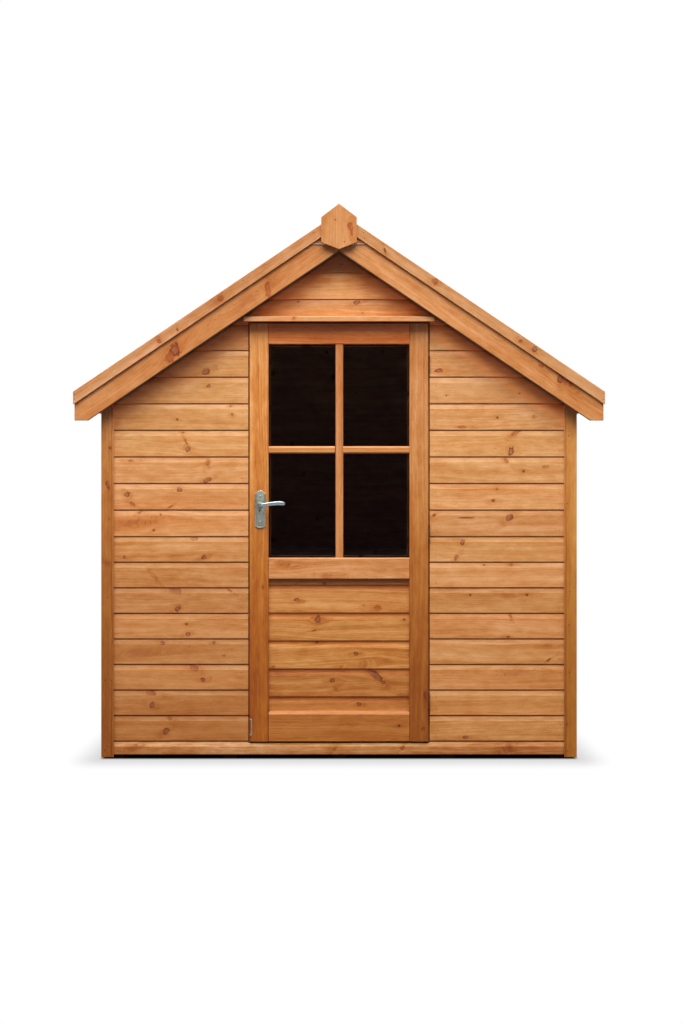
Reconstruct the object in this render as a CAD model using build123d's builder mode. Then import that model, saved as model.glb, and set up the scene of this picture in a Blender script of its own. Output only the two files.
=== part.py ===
from build123d import *
import math
import os

# A wooden garden shed with a gable roof and one half-glazed door in its front.
# X runs to the right seen from the front, Y from front to back, Z up. The origin is on the
# ground, under the middle of the shed. All sizes are in millimetres.

# ---------------------------------------------------------------- driving dimensions
# Body, measured over the corner trims
body_width = 2100
body_depth = 2100
side_wall_height = 1684  # ground to the underside of the roof boards at the cladding's face
roof_pitch = 34  # degrees

# Timber
cladding_thickness = 12
cladding_bottom = 14  # the cladding hangs this far above the ground
trim_width = 55
trim_thickness = 16
trim_bottom = 4
frame_width = 28  # the narrow side of studs and rails
frame_depth = 45  # the deep side, measured in from the cladding
nogging_height = 866

# Floor
bearer_width = 60
bearer_height = 44
bearer_count = 5
bearer_end_gap = 12
floor_thickness = 12
threshold_thickness = 10

# Roof
roof_overhang_front = 50  # roof boards past the front and back cladding
roof_overhang_side = 126  # roof boards past the side cladding
deck_thickness = 12
felt_thickness = 3
felt_turn_down = 40
ridge_cap_reach = 150
purlin_width = 45
purlin_depth = 45
ridge_beam_width = 28
ridge_beam_height = 90
eave_board_thickness = 16
eave_board_height = 36

# Barge boards, their capping strips and the finials
barge_thickness = 18
barge_height = 142
barge_past_felt = 1
barge_toe = 60  # length of the level cut under the foot of the board
barge_drop = 3  # top of the board below the top of its capping
capping_thickness = 10
capping_height = 47
capping_past_barge = 6
capping_upstand = 6  # capping above the felt
finial_thickness = 18
finial_width = 156
finial_rise = 36  # the finial's tip above the point where the capping strips would meet
finial_shoulder_drop = 23
finial_side_drop = 133
finial_tip_drop = 164
apex_tie_height = 3
apex_tie_thickness = 4
apex_tie_drop = 138
ridge_joint = 1  # gap of the saw cut where two sloping pieces meet

# Doorway and door
door_width = 790
door_height = 1847
door_thickness = 34
door_proud = 4  # door face in front of the cladding
door_bottom = 73
door_gap = 6  # beside the door
door_head_gap = 7  # over and under the door
stile_width = 84
top_rail_height = 92
mid_rail_bottom = 792
mid_rail_height = 93
bottom_rail_height = 135
panel_recess = 18
panel_thickness = 12
bar_recess = 4
bar_thickness = 16
bar_width_vertical = 36
bar_width_horizontal = 31
bar_centre_height = 1362
glass_thickness = 3
bead_size = 10
drip_length = 840
drip_thickness = 26
drip_projection = 48
door_stop_width = 12
door_stop_clearance = 5

# Hinges
hinge_height = 75
hinge_leaf_width = 28
hinge_leaf_thickness = 2
hinge_knuckle_radius = 3.5
hinge_pin_radius = 1.6
hinge_running_clearance = 0.1
hinge_gap = 0.5  # between knuckles, and between a leaf and the other leaf's knuckles
hinge_end_distance = 180

# Lever handle, lock and clip
handle_height = 1115
handle_inset = 47  # spindle from the edge of the door
plate_width = 48
plate_height = 168
plate_thickness = 6
plate_centre_drop = 16  # plate's middle below the spindle
plate_shoulder_width = 34
plate_shoulder = 8
plate_dome = 8
plate_chamfer = 1.5
neck_radius = 8
neck_length = 36
neck_clearance = 0.1
lever_length = 108
lever_height = 18
lever_thickness = 12
lever_arch = 4
lever_rise = 8  # tip above the spindle
lever_tip_height = 15
lever_fillet = 3.5
spindle_size = 8
spindle_hole_radius = 9
lock_plate_width = 22
lock_plate_height = 160
lock_plate_thickness = 2
clip_height = 77
clip_width = 12
clip_bar = 4
clip_thickness = 1.5
clip_bottom = 95

# ---------------------------------------------------------------- derived places
rise = math.tan(math.radians(roof_pitch))
upright = 1 / math.cos(math.radians(roof_pitch))  # a sloping board's height over its thickness

face_x = body_width / 2 - trim_thickness  # outer faces of the cladding
face_y = body_depth / 2 - trim_thickness
lining_x = face_x - cladding_thickness  # inner faces of the cladding
lining_y = face_y - cladding_thickness
room_x = lining_x - frame_depth  # inner faces of the studs
room_y = lining_y - frame_depth

floor_top = bearer_height + floor_thickness
rail_top = floor_top + frame_width
threshold_top = floor_top + threshold_thickness

deck_end_x = face_x + roof_overhang_side
deck_end_y = face_y + roof_overhang_front
felt_end_x = deck_end_x + felt_thickness
barge_end_x = felt_end_x + barge_past_felt
capping_end_x = barge_end_x + capping_past_barge

doorway_x = door_width / 2 + door_gap
doorway_top = door_bottom + door_height + door_head_gap
door_x = door_width / 2
door_top = door_bottom + door_height
door_front = -(face_y + door_proud)
door_back = door_front + door_thickness
opening_x = door_x - stile_width  # between the stiles
bottom_rail_top = door_bottom + bottom_rail_height
mid_rail_top = mid_rail_bottom + mid_rail_height
top_rail_bottom = door_top - top_rail_height
bar_front = door_front + bar_recess
glass_front = bar_front + bar_thickness
glass_back = glass_front + glass_thickness

hinge_x = door_x + door_gap / 2
hinge_y = door_front - hinge_knuckle_radius
hinge_leaf_start = hinge_y + hinge_knuckle_radius + hinge_gap
hinge_heights = (
    door_bottom + hinge_end_distance,
    door_bottom + door_height / 2,
    door_top - hinge_end_distance,
)

handle_x = -door_x + handle_inset


def roof_underside(x):
    """Height of the underside of the roof boards."""
    return side_wall_height + (face_x - abs(x)) * rise


def deck_top(x):
    """Height of the top of the roof boards."""
    return roof_underside(x) + deck_thickness * upright


def felt_top(x):
    """Height of the top of the roofing felt."""
    return deck_top(x) + felt_thickness * upright


def capping_top(x):
    """Height of the top edge of the capping strips."""
    return felt_top(x) + capping_upstand


def capping_bottom(x):
    """Height of the lower edge of the capping strips."""
    return capping_top(x) - capping_height * upright


def barge_bottom(x):
    """Height of the lower edge of the barge boards."""
    return capping_top(x) - barge_height * upright


def rafter_bottom(x):
    """Height of the underside of the sloping rails inside the gables."""
    return roof_underside(x) - frame_depth * upright


# ---------------------------------------------------------------- helpers
def board(x_limits, y_limits, z_limits):
    """Add a rectangular board between three pairs of limits."""
    limits = (x_limits, y_limits, z_limits)
    centre = [(low + high) / 2 for low, high in limits]
    size = [high - low for low, high in limits]
    with Locations(tuple(centre)):
        Box(*size)


def plate(outline, y_limits):
    """Add a plate with its outline in the XZ plane, between two limits in Y."""
    front, back = y_limits
    with BuildSketch(Plane.XZ.offset(-back)) as face:
        with BuildLine():
            Polyline(*outline, close=True)
        make_face()
    extrude(face.sketch, amount=back - front)


def mirrored(outline, side):
    """The outline on the right side, or its mirror image on the left for side -1."""
    return [(side * x, z) for x, z in outline]


def under_slope(x_limits, bottom, top_line):
    """Outline between two limits in X, from a level bottom up to a line along the roof."""
    low, high = x_limits
    ridge = [(0, top_line(0))] if low < 0 < high else []
    return [(low, bottom), (high, bottom), (high, top_line(high)), *ridge, (low, top_line(low))]


def spaced(low, high, count):
    """Evenly spaced middles of framing members whose outer faces are at the two limits."""
    first = low + frame_width / 2
    last = high - frame_width / 2
    return [first + (last - first) * step / (count - 1) for step in range(count)]


def between(middles):
    """Clear spaces between framing members with these middles."""
    half = frame_width / 2
    return [(here + half, there - half) for here, there in zip(middles, middles[1:])]


def around(middle, width):
    """Limits of a width about its middle."""
    return (middle - width / 2, middle + width / 2)


both_sides = (-1, 1)
front_frame = (-lining_y, -room_y)
back_frame = (room_y, lining_y)

# ---------------------------------------------------------------- floor
with BuildPart() as floor_bearers:
    bearer_reach = lining_x - bearer_width / 2 - frame_width
    for step in range(bearer_count):
        middle = -bearer_reach + 2 * bearer_reach * step / (bearer_count - 1)
        bearer_end = lining_y - bearer_end_gap
        board(around(middle, bearer_width), (-bearer_end, bearer_end), (0, bearer_height))

with BuildPart() as floor_deck:
    board((-lining_x, lining_x), (-lining_y, lining_y), (bearer_height, floor_top))

with BuildPart() as door_threshold:
    board((-doorway_x, doorway_x), front_frame, (floor_top, threshold_top))

# ---------------------------------------------------------------- cladding
front_skin = (-face_y, -lining_y)
back_skin = (lining_y, face_y)

with BuildPart() as front_base_board:
    board((-face_x, face_x), front_skin, (cladding_bottom, threshold_top))

with BuildPart() as front_wall_left:
    plate(under_slope((-face_x, -doorway_x), threshold_top, roof_underside), front_skin)

with BuildPart() as front_wall_right:
    plate(under_slope((doorway_x, face_x), threshold_top, roof_underside), front_skin)

with BuildPart() as front_gable:
    plate(under_slope((-doorway_x, doorway_x), doorway_top, roof_underside), front_skin)

with BuildPart() as back_wall:
    plate(under_slope((-face_x, face_x), cladding_bottom, roof_underside), back_skin)

with BuildPart() as left_wall:
    plate(under_slope((-face_x, -lining_x), cladding_bottom, roof_underside), (-lining_y, lining_y))

with BuildPart() as right_wall:
    plate(under_slope((lining_x, face_x), cladding_bottom, roof_underside), (-lining_y, lining_y))

# ---------------------------------------------------------------- framing
front_studs = spaced(doorway_x, lining_x, 3)
back_studs = spaced(-lining_x, lining_x, 5)
side_studs = spaced(-room_y, room_y, 5)
top_rail_under = roof_underside(lining_x) - frame_depth
nogging = (nogging_height, nogging_height + frame_width)

with BuildPart() as front_wall_studs:
    for side in both_sides:
        for middle in front_studs:
            stud = around(side * middle, frame_width)
            plate(under_slope(stud, rail_top, rafter_bottom), front_frame)

with BuildPart() as front_wall_rails:
    for side in both_sides:
        base = sorted((side * doorway_x, side * lining_x))
        board(base, front_frame, (floor_top, rail_top))
        for bay in between(front_studs):
            board(sorted(side * edge for edge in bay), front_frame, nogging)
    board((-doorway_x, doorway_x), front_frame, (doorway_top, doorway_top + frame_depth))

with BuildPart() as back_wall_studs:
    for middle in back_studs:
        stud = around(middle, frame_width)
        plate(under_slope(stud, rail_top, rafter_bottom), back_frame)

with BuildPart() as back_wall_rails:
    board((-lining_x, lining_x), back_frame, (floor_top, rail_top))
    for bay in between(back_studs):
        board(bay, back_frame, nogging)

with BuildPart() as side_wall_studs:
    for side in both_sides:
        depth = sorted((side * room_x, side * lining_x))
        for middle in side_studs:
            board(depth, around(middle, frame_width), (rail_top, top_rail_under))

with BuildPart() as side_wall_rails:
    for side in both_sides:
        depth = sorted((side * room_x, side * lining_x))
        board(depth, (-room_y, room_y), (floor_top, rail_top))
        plate(under_slope(depth, top_rail_under, roof_underside), (-room_y, room_y))
        for bay in between(side_studs):
            board(depth, bay, nogging)

with BuildPart() as gable_rafters:
    rafter = [
        (ridge_joint / 2, roof_underside(ridge_joint / 2)),
        (lining_x, roof_underside(lining_x)),
        (lining_x, rafter_bottom(lining_x)),
        (ridge_joint / 2, rafter_bottom(ridge_joint / 2)),
    ]
    for side in both_sides:
        plate(mirrored(rafter, side), front_frame)
        plate(mirrored(rafter, side), back_frame)

# ---------------------------------------------------------------- corner trims
with BuildPart() as corner_trims_gables:
    trim_outer = face_x + trim_thickness
    trim_limits = (trim_outer - trim_width, trim_outer)
    trim_outline = under_slope(trim_limits, trim_bottom, roof_underside)
    for side in both_sides:
        plate(mirrored(trim_outline, side), (-face_y - trim_thickness, -face_y))
        plate(mirrored(trim_outline, side), (face_y, face_y + trim_thickness))

with BuildPart() as corner_trims_sides:
    trim_outline = under_slope((face_x, trim_outer), trim_bottom, roof_underside)
    for side in both_sides:
        plate(mirrored(trim_outline, side), (-face_y, -face_y + trim_width))
        plate(mirrored(trim_outline, side), (face_y - trim_width, face_y))

# ---------------------------------------------------------------- roof
deck_length = (-deck_end_y, deck_end_y)
deck_outline = [
    (0, roof_underside(0)),
    (deck_end_x, roof_underside(deck_end_x)),
    (deck_end_x, deck_top(deck_end_x)),
    (0, deck_top(0)),
]
felt_foot = deck_top(deck_end_x) - felt_turn_down
felt_outline = [
    (0, deck_top(0)),
    (deck_end_x, deck_top(deck_end_x)),
    (deck_end_x, felt_foot),
    (felt_end_x, felt_foot),
    (felt_end_x, felt_top(felt_end_x)),
    (0, felt_top(0)),
]

with BuildPart() as roof_deck_left:
    plate(mirrored(deck_outline, -1), deck_length)

with BuildPart() as roof_deck_right:
    plate(deck_outline, deck_length)

with BuildPart() as roof_felt_left:
    plate(mirrored(felt_outline, -1), deck_length)

with BuildPart() as roof_felt_right:
    plate(felt_outline, deck_length)

with BuildPart() as ridge_felt_cap:
    cap_lower = [(x, felt_top(x)) for x in (-ridge_cap_reach, 0, ridge_cap_reach)]
    cap_upper = [(x, z + felt_thickness * upright) for x, z in reversed(cap_lower)]
    plate(cap_lower + cap_upper, deck_length)

with BuildPart() as roof_purlins:
    down_slope = (math.cos(math.radians(roof_pitch)), -math.sin(math.radians(roof_pitch)))
    inward = (down_slope[1], -down_slope[0])
    purlin_x = lining_x / 2
    purlin_outline = []
    for along, depth in ((-0.5, 0), (0.5, 0), (0.5, 1), (-0.5, 1)):
        x = purlin_x + along * purlin_width * down_slope[0] + depth * purlin_depth * inward[0]
        z = along * purlin_width * down_slope[1] + depth * purlin_depth * inward[1]
        purlin_outline.append((x, roof_underside(purlin_x) + z))
    for side in both_sides:
        plate(mirrored(purlin_outline, side), (-room_y, room_y))
    beam = around(0, ridge_beam_width)
    beam_bottom = roof_underside(0) - ridge_beam_height
    plate(under_slope(beam, beam_bottom, roof_underside), (-room_y, room_y))

with BuildPart() as eave_boards:
    eave_limits = (deck_end_x - eave_board_thickness, deck_end_x)
    eave_bottom = roof_underside(deck_end_x) - eave_board_height
    eave_outline = under_slope(eave_limits, eave_bottom, roof_underside)
    for side in both_sides:
        plate(mirrored(eave_outline, side), deck_length)

# ---------------------------------------------------------------- barge boards and finials
barge_limits = (deck_end_y, deck_end_y + barge_thickness)
capping_limits = (barge_limits[1], barge_limits[1] + capping_thickness)
finial_limits = (capping_limits[1], capping_limits[1] + finial_thickness)


def to_front(limits):
    """The same limits in Y, on the front of the shed."""
    near, far = limits
    return (-far, -near)


def barge_boards(y_limits):
    """Add a pair of barge boards, level under the foot."""
    start = ridge_joint / 2
    toe_start = barge_end_x - barge_toe
    toe_height = barge_bottom(toe_start)
    outline = [
        (start, capping_top(start) - barge_drop),
        (barge_end_x, capping_top(barge_end_x) - barge_drop),
        (barge_end_x, toe_height),
        (toe_start, toe_height),
        (start, barge_bottom(start)),
    ]
    for side in both_sides:
        plate(mirrored(outline, side), y_limits)


def capping_strips(y_limits):
    """Add a pair of capping strips along the top of the barge boards."""
    start = ridge_joint / 2
    outline = [
        (start, capping_top(start)),
        (capping_end_x, capping_top(capping_end_x)),
        (capping_end_x, capping_bottom(capping_end_x)),
        (start, capping_bottom(start)),
    ]
    for side in both_sides:
        plate(mirrored(outline, side), y_limits)


def finial(y_limits):
    """Add a finial, a flat board pointed at both ends."""
    apex = capping_top(0)
    half = finial_width / 2
    outline = [
        (0, apex + finial_rise),
        (half, apex - finial_shoulder_drop),
        (half, apex - finial_side_drop),
        (0, apex - finial_tip_drop),
        (-half, apex - finial_side_drop),
        (-half, apex - finial_shoulder_drop),
    ]
    plate(outline, y_limits)


with BuildPart() as front_barge_boards:
    barge_boards(to_front(barge_limits))

with BuildPart() as front_capping_strips:
    capping_strips(to_front(capping_limits))

with BuildPart() as front_finial:
    finial(to_front(finial_limits))

with BuildPart() as back_barge_boards:
    barge_boards(barge_limits)

with BuildPart() as back_capping_strips:
    capping_strips(capping_limits)

with BuildPart() as back_finial:
    finial(finial_limits)

# A thin metal strip that ties the two barge boards under the capping strips
with BuildPart() as front_apex_tie:
    tie_top = capping_top(0) - apex_tie_drop
    tie_half = (capping_bottom(0) - tie_top) / rise - ridge_joint
    tie_front = -barge_limits[1] - apex_tie_thickness
    tie_depth = (tie_front, -barge_limits[1])
    board((-tie_half, tie_half), tie_depth, (tie_top - apex_tie_height, tie_top))

# ---------------------------------------------------------------- doorway
with BuildPart() as door_drip_board:
    drip_depth = (-face_y - drip_projection, -face_y)
    board(around(0, drip_length), drip_depth, (doorway_top, doorway_top + drip_thickness))

with BuildPart() as door_stops:
    stop_depth = (door_back + door_stop_clearance, -room_y)
    for side in both_sides:
        across = sorted((side * doorway_x, side * (doorway_x - door_stop_width)))
        board(across, stop_depth, (threshold_top, doorway_top))
    head_half = doorway_x - door_stop_width - ridge_joint
    board((-head_half, head_half), stop_depth, (doorway_top - door_stop_width, doorway_top))

# ---------------------------------------------------------------- door
door_depth = (door_front, door_back)

with BuildPart() as door_stile_left:
    board((-door_x, -opening_x), door_depth, (door_bottom, door_top))
    with Locations(Plane(origin=(handle_x, door_front, handle_height), z_dir=(0, -1, 0))):
        Hole(spindle_hole_radius)
    lock_depth = around((door_front + door_back) / 2, lock_plate_width)
    lock_span = around(handle_height, lock_plate_height)
    with Locations((-door_x, sum(lock_depth) / 2, handle_height)):
        Box(
            2 * lock_plate_thickness,
            lock_plate_width,
            lock_plate_height,
            mode=Mode.SUBTRACT,
        )

with BuildPart() as door_stile_right:
    board((opening_x, door_x), door_depth, (door_bottom, door_top))

with BuildPart() as door_top_rail:
    board((-opening_x, opening_x), door_depth, (top_rail_bottom, door_top))

with BuildPart() as door_mid_rail:
    board((-opening_x, opening_x), door_depth, (mid_rail_bottom, mid_rail_top))

with BuildPart() as door_bottom_rail:
    board((-opening_x, opening_x), door_depth, (door_bottom, bottom_rail_top))

with BuildPart() as door_bar_vertical:
    bar_depth = (bar_front, glass_front)
    board(around(0, bar_width_vertical), bar_depth, (mid_rail_top, top_rail_bottom))

with BuildPart() as door_bars_horizontal:
    for side in both_sides:
        across = sorted((side * bar_width_vertical / 2, side * opening_x))
        board(across, bar_depth, around(bar_centre_height, bar_width_horizontal))

with BuildPart() as door_glass:
    board((-opening_x, opening_x), (glass_front, glass_back), (mid_rail_top, top_rail_bottom))

with BuildPart() as door_glazing_beads:
    bead_depth = (glass_back, glass_back + bead_size)
    for side in both_sides:
        across = sorted((side * opening_x, side * (opening_x - bead_size)))
        board(across, bead_depth, (mid_rail_top, top_rail_bottom))
    bead_half = opening_x - bead_size - ridge_joint
    for low in (mid_rail_top, top_rail_bottom - bead_size):
        board((-bead_half, bead_half), bead_depth, (low, low + bead_size))

with BuildPart() as door_panel:
    panel_depth = (door_front + panel_recess, door_front + panel_recess + panel_thickness)
    board((-opening_x, opening_x), panel_depth, (bottom_rail_top, mid_rail_bottom))


# ---------------------------------------------------------------- hinges
def hinge_plane(z):
    """Level plane on the hinge's axis."""
    return Plane(origin=(hinge_x, hinge_y, z))


def knuckle(low, high):
    """Add one knuckle of a hinge between two heights."""
    with BuildSketch(hinge_plane(low)) as round_end:
        Circle(hinge_knuckle_radius)
    extrude(round_end.sketch, amount=high - low)


def leaf(x_limits, low, high, knuckles):
    """Add a hinge leaf with tabs that reach its knuckles."""
    leaf_end = hinge_leaf_start + hinge_leaf_width
    board(x_limits, (hinge_leaf_start, leaf_end), (low, high))
    for bottom, top in knuckles:
        board(x_limits, (hinge_y, hinge_leaf_start), (bottom, top))
        knuckle(bottom, top)


with BuildPart() as frame_hinge_leaves:
    frame_edges = (doorway_x - hinge_leaf_thickness, doorway_x)
    for middle in hinge_heights:
        low, high = around(middle, hinge_height)
        third = hinge_height / 3
        leaf(frame_edges, low, high, [(low, low + third), (high - third, high)])
        with BuildSketch(hinge_plane(low)) as pin:
            Circle(hinge_pin_radius)
        extrude(pin.sketch, amount=hinge_height)

with BuildPart() as door_hinge_leaves:
    door_edges = (door_x, door_x + hinge_leaf_thickness)
    for middle in hinge_heights:
        low, high = around(middle, hinge_height)
        knuckle_limits = around(middle, hinge_height / 3 - 2 * hinge_gap)
        leaf(door_edges, low, high, [knuckle_limits])
        with BuildSketch(hinge_plane(low)) as bore:
            Circle(hinge_pin_radius + hinge_running_clearance)
        extrude(bore.sketch, amount=hinge_height, mode=Mode.SUBTRACT)


# ---------------------------------------------------------------- handle, lock and clip
def handle_plane(y):
    """Upright plane on the spindle's axis, facing forwards."""
    return Plane(origin=(handle_x, y, handle_height), x_dir=(1, 0, 0), z_dir=(0, -1, 0))


def handle_plate(y_limits, outer_y):
    """Add a back plate with domed ends, bevelled round the face at outer_y."""
    front, back = y_limits
    half_width = plate_width / 2
    half_height = plate_height / 2
    dome_start = half_height - plate_dome
    side_end = dome_start - plate_shoulder / 2
    shoulder_half = plate_shoulder_width / 2
    middle = -plate_centre_drop
    with BuildSketch(handle_plane(back)) as face:
        with BuildLine():
            for end in (-1, 1):
                Line((-half_width, middle + end * side_end), (-shoulder_half, middle + end * dome_start))
                ThreePointArc(
                    (-shoulder_half, middle + end * dome_start),
                    (0, middle + end * half_height),
                    (shoulder_half, middle + end * dome_start),
                )
                Line((shoulder_half, middle + end * dome_start), (half_width, middle + end * side_end))
            for side in both_sides:
                Line((side * half_width, middle - side_end), (side * half_width, middle + side_end))
        make_face()
    extrude(face.sketch, amount=back - front)
    near = edges().filter_by_position(Axis.Y, outer_y - plate_chamfer / 2, outer_y + plate_chamfer / 2)
    chamfer(near, plate_chamfer)
    with BuildSketch(handle_plane(back)) as bore:
        Circle(neck_radius + neck_clearance)
    extrude(bore.sketch, amount=back - front, mode=Mode.SUBTRACT)


def lever_arm(y_limits):
    """Add the arched grip of a lever, which points to the right."""
    front, back = y_limits
    root = lever_height / 2
    tip = lever_tip_height / 2
    reach = lever_length - tip
    middle = reach / 2
    crown = lever_arch + lever_rise / 2
    with BuildSketch(handle_plane(back)) as side_view:
        with BuildLine():
            ThreePointArc((0, root), (middle, crown + root), (reach, lever_rise + tip))
            ThreePointArc((reach, lever_rise + tip), (lever_length, lever_rise), (reach, lever_rise - tip))
            ThreePointArc((reach, lever_rise - tip), (middle, crown - root), (0, -root))
            ThreePointArc((0, -root), (-root, 0), (0, root))
        make_face()
    extrude(side_view.sketch, amount=back - front)
    fillet(edges(), lever_fillet)


def lever_neck(y_limits):
    """Add the round neck between the door and the grip."""
    front, back = y_limits
    with BuildSketch(handle_plane(back)) as section:
        Circle(neck_radius)
    extrude(section.sketch, amount=back - front)


plate_front = door_front - plate_thickness
arm_back = plate_front - neck_length + lever_thickness / 2
plate_inside = door_back + plate_thickness
arm_inside = plate_inside + neck_length - lever_thickness / 2

with BuildPart() as plate_outside:
    handle_plate((plate_front, door_front), plate_front)

with BuildPart() as plate_within:
    handle_plate((door_back, plate_inside), plate_inside)

with BuildPart() as handle_plates:
    add(plate_outside.part)
    add(plate_within.part)

with BuildPart() as lever_outside:
    lever_arm((arm_back - lever_thickness, arm_back))
    lever_neck((arm_back - lever_thickness / 2, door_front))

with BuildPart() as lever_inside:
    lever_arm((arm_inside, arm_inside + lever_thickness))
    lever_neck((door_back, arm_inside + lever_thickness / 2))
    with BuildSketch(handle_plane(door_back)) as spindle:
        Rectangle(spindle_size, spindle_size)
    extrude(spindle.sketch, amount=door_thickness)

with BuildPart() as lock_faceplate:
    board((-door_x, -door_x + lock_plate_thickness), lock_depth, lock_span)

# A C-shaped clip on the face of the door, at the foot of its free edge
with BuildPart() as door_edge_clip:
    clip_top = clip_bottom + clip_height
    clip_right = -door_x + clip_width
    clip_outline = [
        (-door_x, clip_bottom),
        (clip_right, clip_bottom),
        (clip_right, clip_top),
        (-door_x, clip_top),
        (-door_x, clip_top - clip_bar),
        (clip_right - clip_bar, clip_top - clip_bar),
        (clip_right - clip_bar, clip_bottom + clip_bar),
        (-door_x, clip_bottom + clip_bar),
    ]
    plate(clip_outline, (door_front - clip_thickness, door_front))

# ---------------------------------------------------------------- files
pieces = {
    "floor_bearers": floor_bearers,
    "floor_deck": floor_deck,
    "door_threshold": door_threshold,
    "front_base_board": front_base_board,
    "front_wall_left": front_wall_left,
    "front_wall_right": front_wall_right,
    "front_gable": front_gable,
    "back_wall": back_wall,
    "left_wall": left_wall,
    "right_wall": right_wall,
    "front_wall_studs": front_wall_studs,
    "front_wall_rails": front_wall_rails,
    "back_wall_studs": back_wall_studs,
    "back_wall_rails": back_wall_rails,
    "side_wall_studs": side_wall_studs,
    "side_wall_rails": side_wall_rails,
    "gable_rafters": gable_rafters,
    "corner_trims_gables": corner_trims_gables,
    "corner_trims_sides": corner_trims_sides,
    "roof_deck_left": roof_deck_left,
    "roof_deck_right": roof_deck_right,
    "roof_purlins": roof_purlins,
    "roof_felt_left": roof_felt_left,
    "roof_felt_right": roof_felt_right,
    "ridge_felt_cap": ridge_felt_cap,
    "eave_boards": eave_boards,
    "front_barge_boards": front_barge_boards,
    "front_capping_strips": front_capping_strips,
    "front_finial": front_finial,
    "front_apex_tie": front_apex_tie,
    "back_barge_boards": back_barge_boards,
    "back_capping_strips": back_capping_strips,
    "back_finial": back_finial,
    "door_drip_board": door_drip_board,
    "door_stops": door_stops,
    "frame_hinge_leaves": frame_hinge_leaves,
    "door_stile_left": door_stile_left,
    "door_stile_right": door_stile_right,
    "door_top_rail": door_top_rail,
    "door_mid_rail": door_mid_rail,
    "door_bottom_rail": door_bottom_rail,
    "door_bar_vertical": door_bar_vertical,
    "door_bars_horizontal": door_bars_horizontal,
    "door_glass": door_glass,
    "door_glazing_beads": door_glazing_beads,
    "door_panel": door_panel,
    "handle_plates": handle_plates,
    "door_hinge_leaves": door_hinge_leaves,
    "door_edge_clip": door_edge_clip,
    "lock_faceplate": lock_faceplate,
    "lever_outside": lever_outside,
    "lever_inside": lever_inside,
}

os.makedirs("parts", exist_ok=True)
for name, piece in pieces.items():
    piece.part.label = name
    export_step(piece.part, f"parts/{name}.step")
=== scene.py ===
import bmesh
import bpy
import random
from math import atan2, copysign, cos, pi, radians, sin, tan
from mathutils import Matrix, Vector


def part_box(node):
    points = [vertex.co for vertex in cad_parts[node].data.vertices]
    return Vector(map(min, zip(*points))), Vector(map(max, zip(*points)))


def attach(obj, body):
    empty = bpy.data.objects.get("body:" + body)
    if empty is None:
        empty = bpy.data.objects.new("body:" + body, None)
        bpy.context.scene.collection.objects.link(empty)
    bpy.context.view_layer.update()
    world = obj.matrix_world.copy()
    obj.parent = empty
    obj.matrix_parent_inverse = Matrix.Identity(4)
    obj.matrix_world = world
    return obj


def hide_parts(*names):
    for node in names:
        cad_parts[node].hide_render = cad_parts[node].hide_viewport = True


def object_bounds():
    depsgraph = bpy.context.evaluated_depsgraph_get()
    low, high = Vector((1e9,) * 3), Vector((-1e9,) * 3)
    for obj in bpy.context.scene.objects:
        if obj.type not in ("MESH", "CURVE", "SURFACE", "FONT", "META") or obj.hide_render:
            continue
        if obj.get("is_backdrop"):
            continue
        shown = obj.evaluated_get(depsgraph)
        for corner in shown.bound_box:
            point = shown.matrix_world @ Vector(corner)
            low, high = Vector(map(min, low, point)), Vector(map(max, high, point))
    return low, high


# A wooden garden shed: shiplap cladding, a felted gable roof and a half-glazed door.
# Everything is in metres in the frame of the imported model: X right, Y back, Z up.

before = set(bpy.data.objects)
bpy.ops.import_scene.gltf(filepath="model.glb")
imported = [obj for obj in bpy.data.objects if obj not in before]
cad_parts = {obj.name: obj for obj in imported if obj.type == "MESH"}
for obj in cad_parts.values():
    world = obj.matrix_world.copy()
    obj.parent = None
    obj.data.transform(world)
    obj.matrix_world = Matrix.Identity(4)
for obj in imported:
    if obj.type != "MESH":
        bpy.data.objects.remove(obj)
cad_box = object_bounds()

NOWHERE, X, Y, Z = Vector((0, 0, 0)), Vector((1, 0, 0)), Vector((0, 1, 0)), Vector((0, 0, 1))


# -------- colours
def stain(red, green, blue):
    """A colour written as 0 to 255 values, as the linear one that shaders use."""
    def linear(value):
        value /= 255
        return value / 12.92 if value <= 0.04045 else ((value + 0.055) / 1.055) ** 2.4
    return Vector((linear(red), linear(green), linear(blue)))


BOARD = stain(219, 155, 94)
BASE = stain(180, 115, 58)
STILE_LEFT = stain(226, 150, 76)
STILE_RIGHT = stain(206, 136, 78)
FINIAL = stain(206, 141, 84)
BARGE = stain(211, 134, 73)
CAPPING = stain(206, 146, 94)
TOP_RAIL = stain(230, 135, 70)
MID_RAIL = stain(218, 150, 92)
BOTTOM_RAIL = stain(184, 112, 50)
PANEL = stain(212, 144, 80)
HONEY = stain(222, 158, 103)
AMBER = stain(214, 142, 84)
GOLDEN = stain(226, 155, 87)
RUSSET = stain(205, 128, 72)
TRIM = stain(191, 124, 60)
TRIM_RIGHT = stain(214, 152, 80)
TRIM_BEAD_HIGHLIGHT = stain(214, 146, 84)
RAW_PINE = stain(176, 122, 76)
DARK_TIMBER = stain(66, 54, 38)


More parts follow.
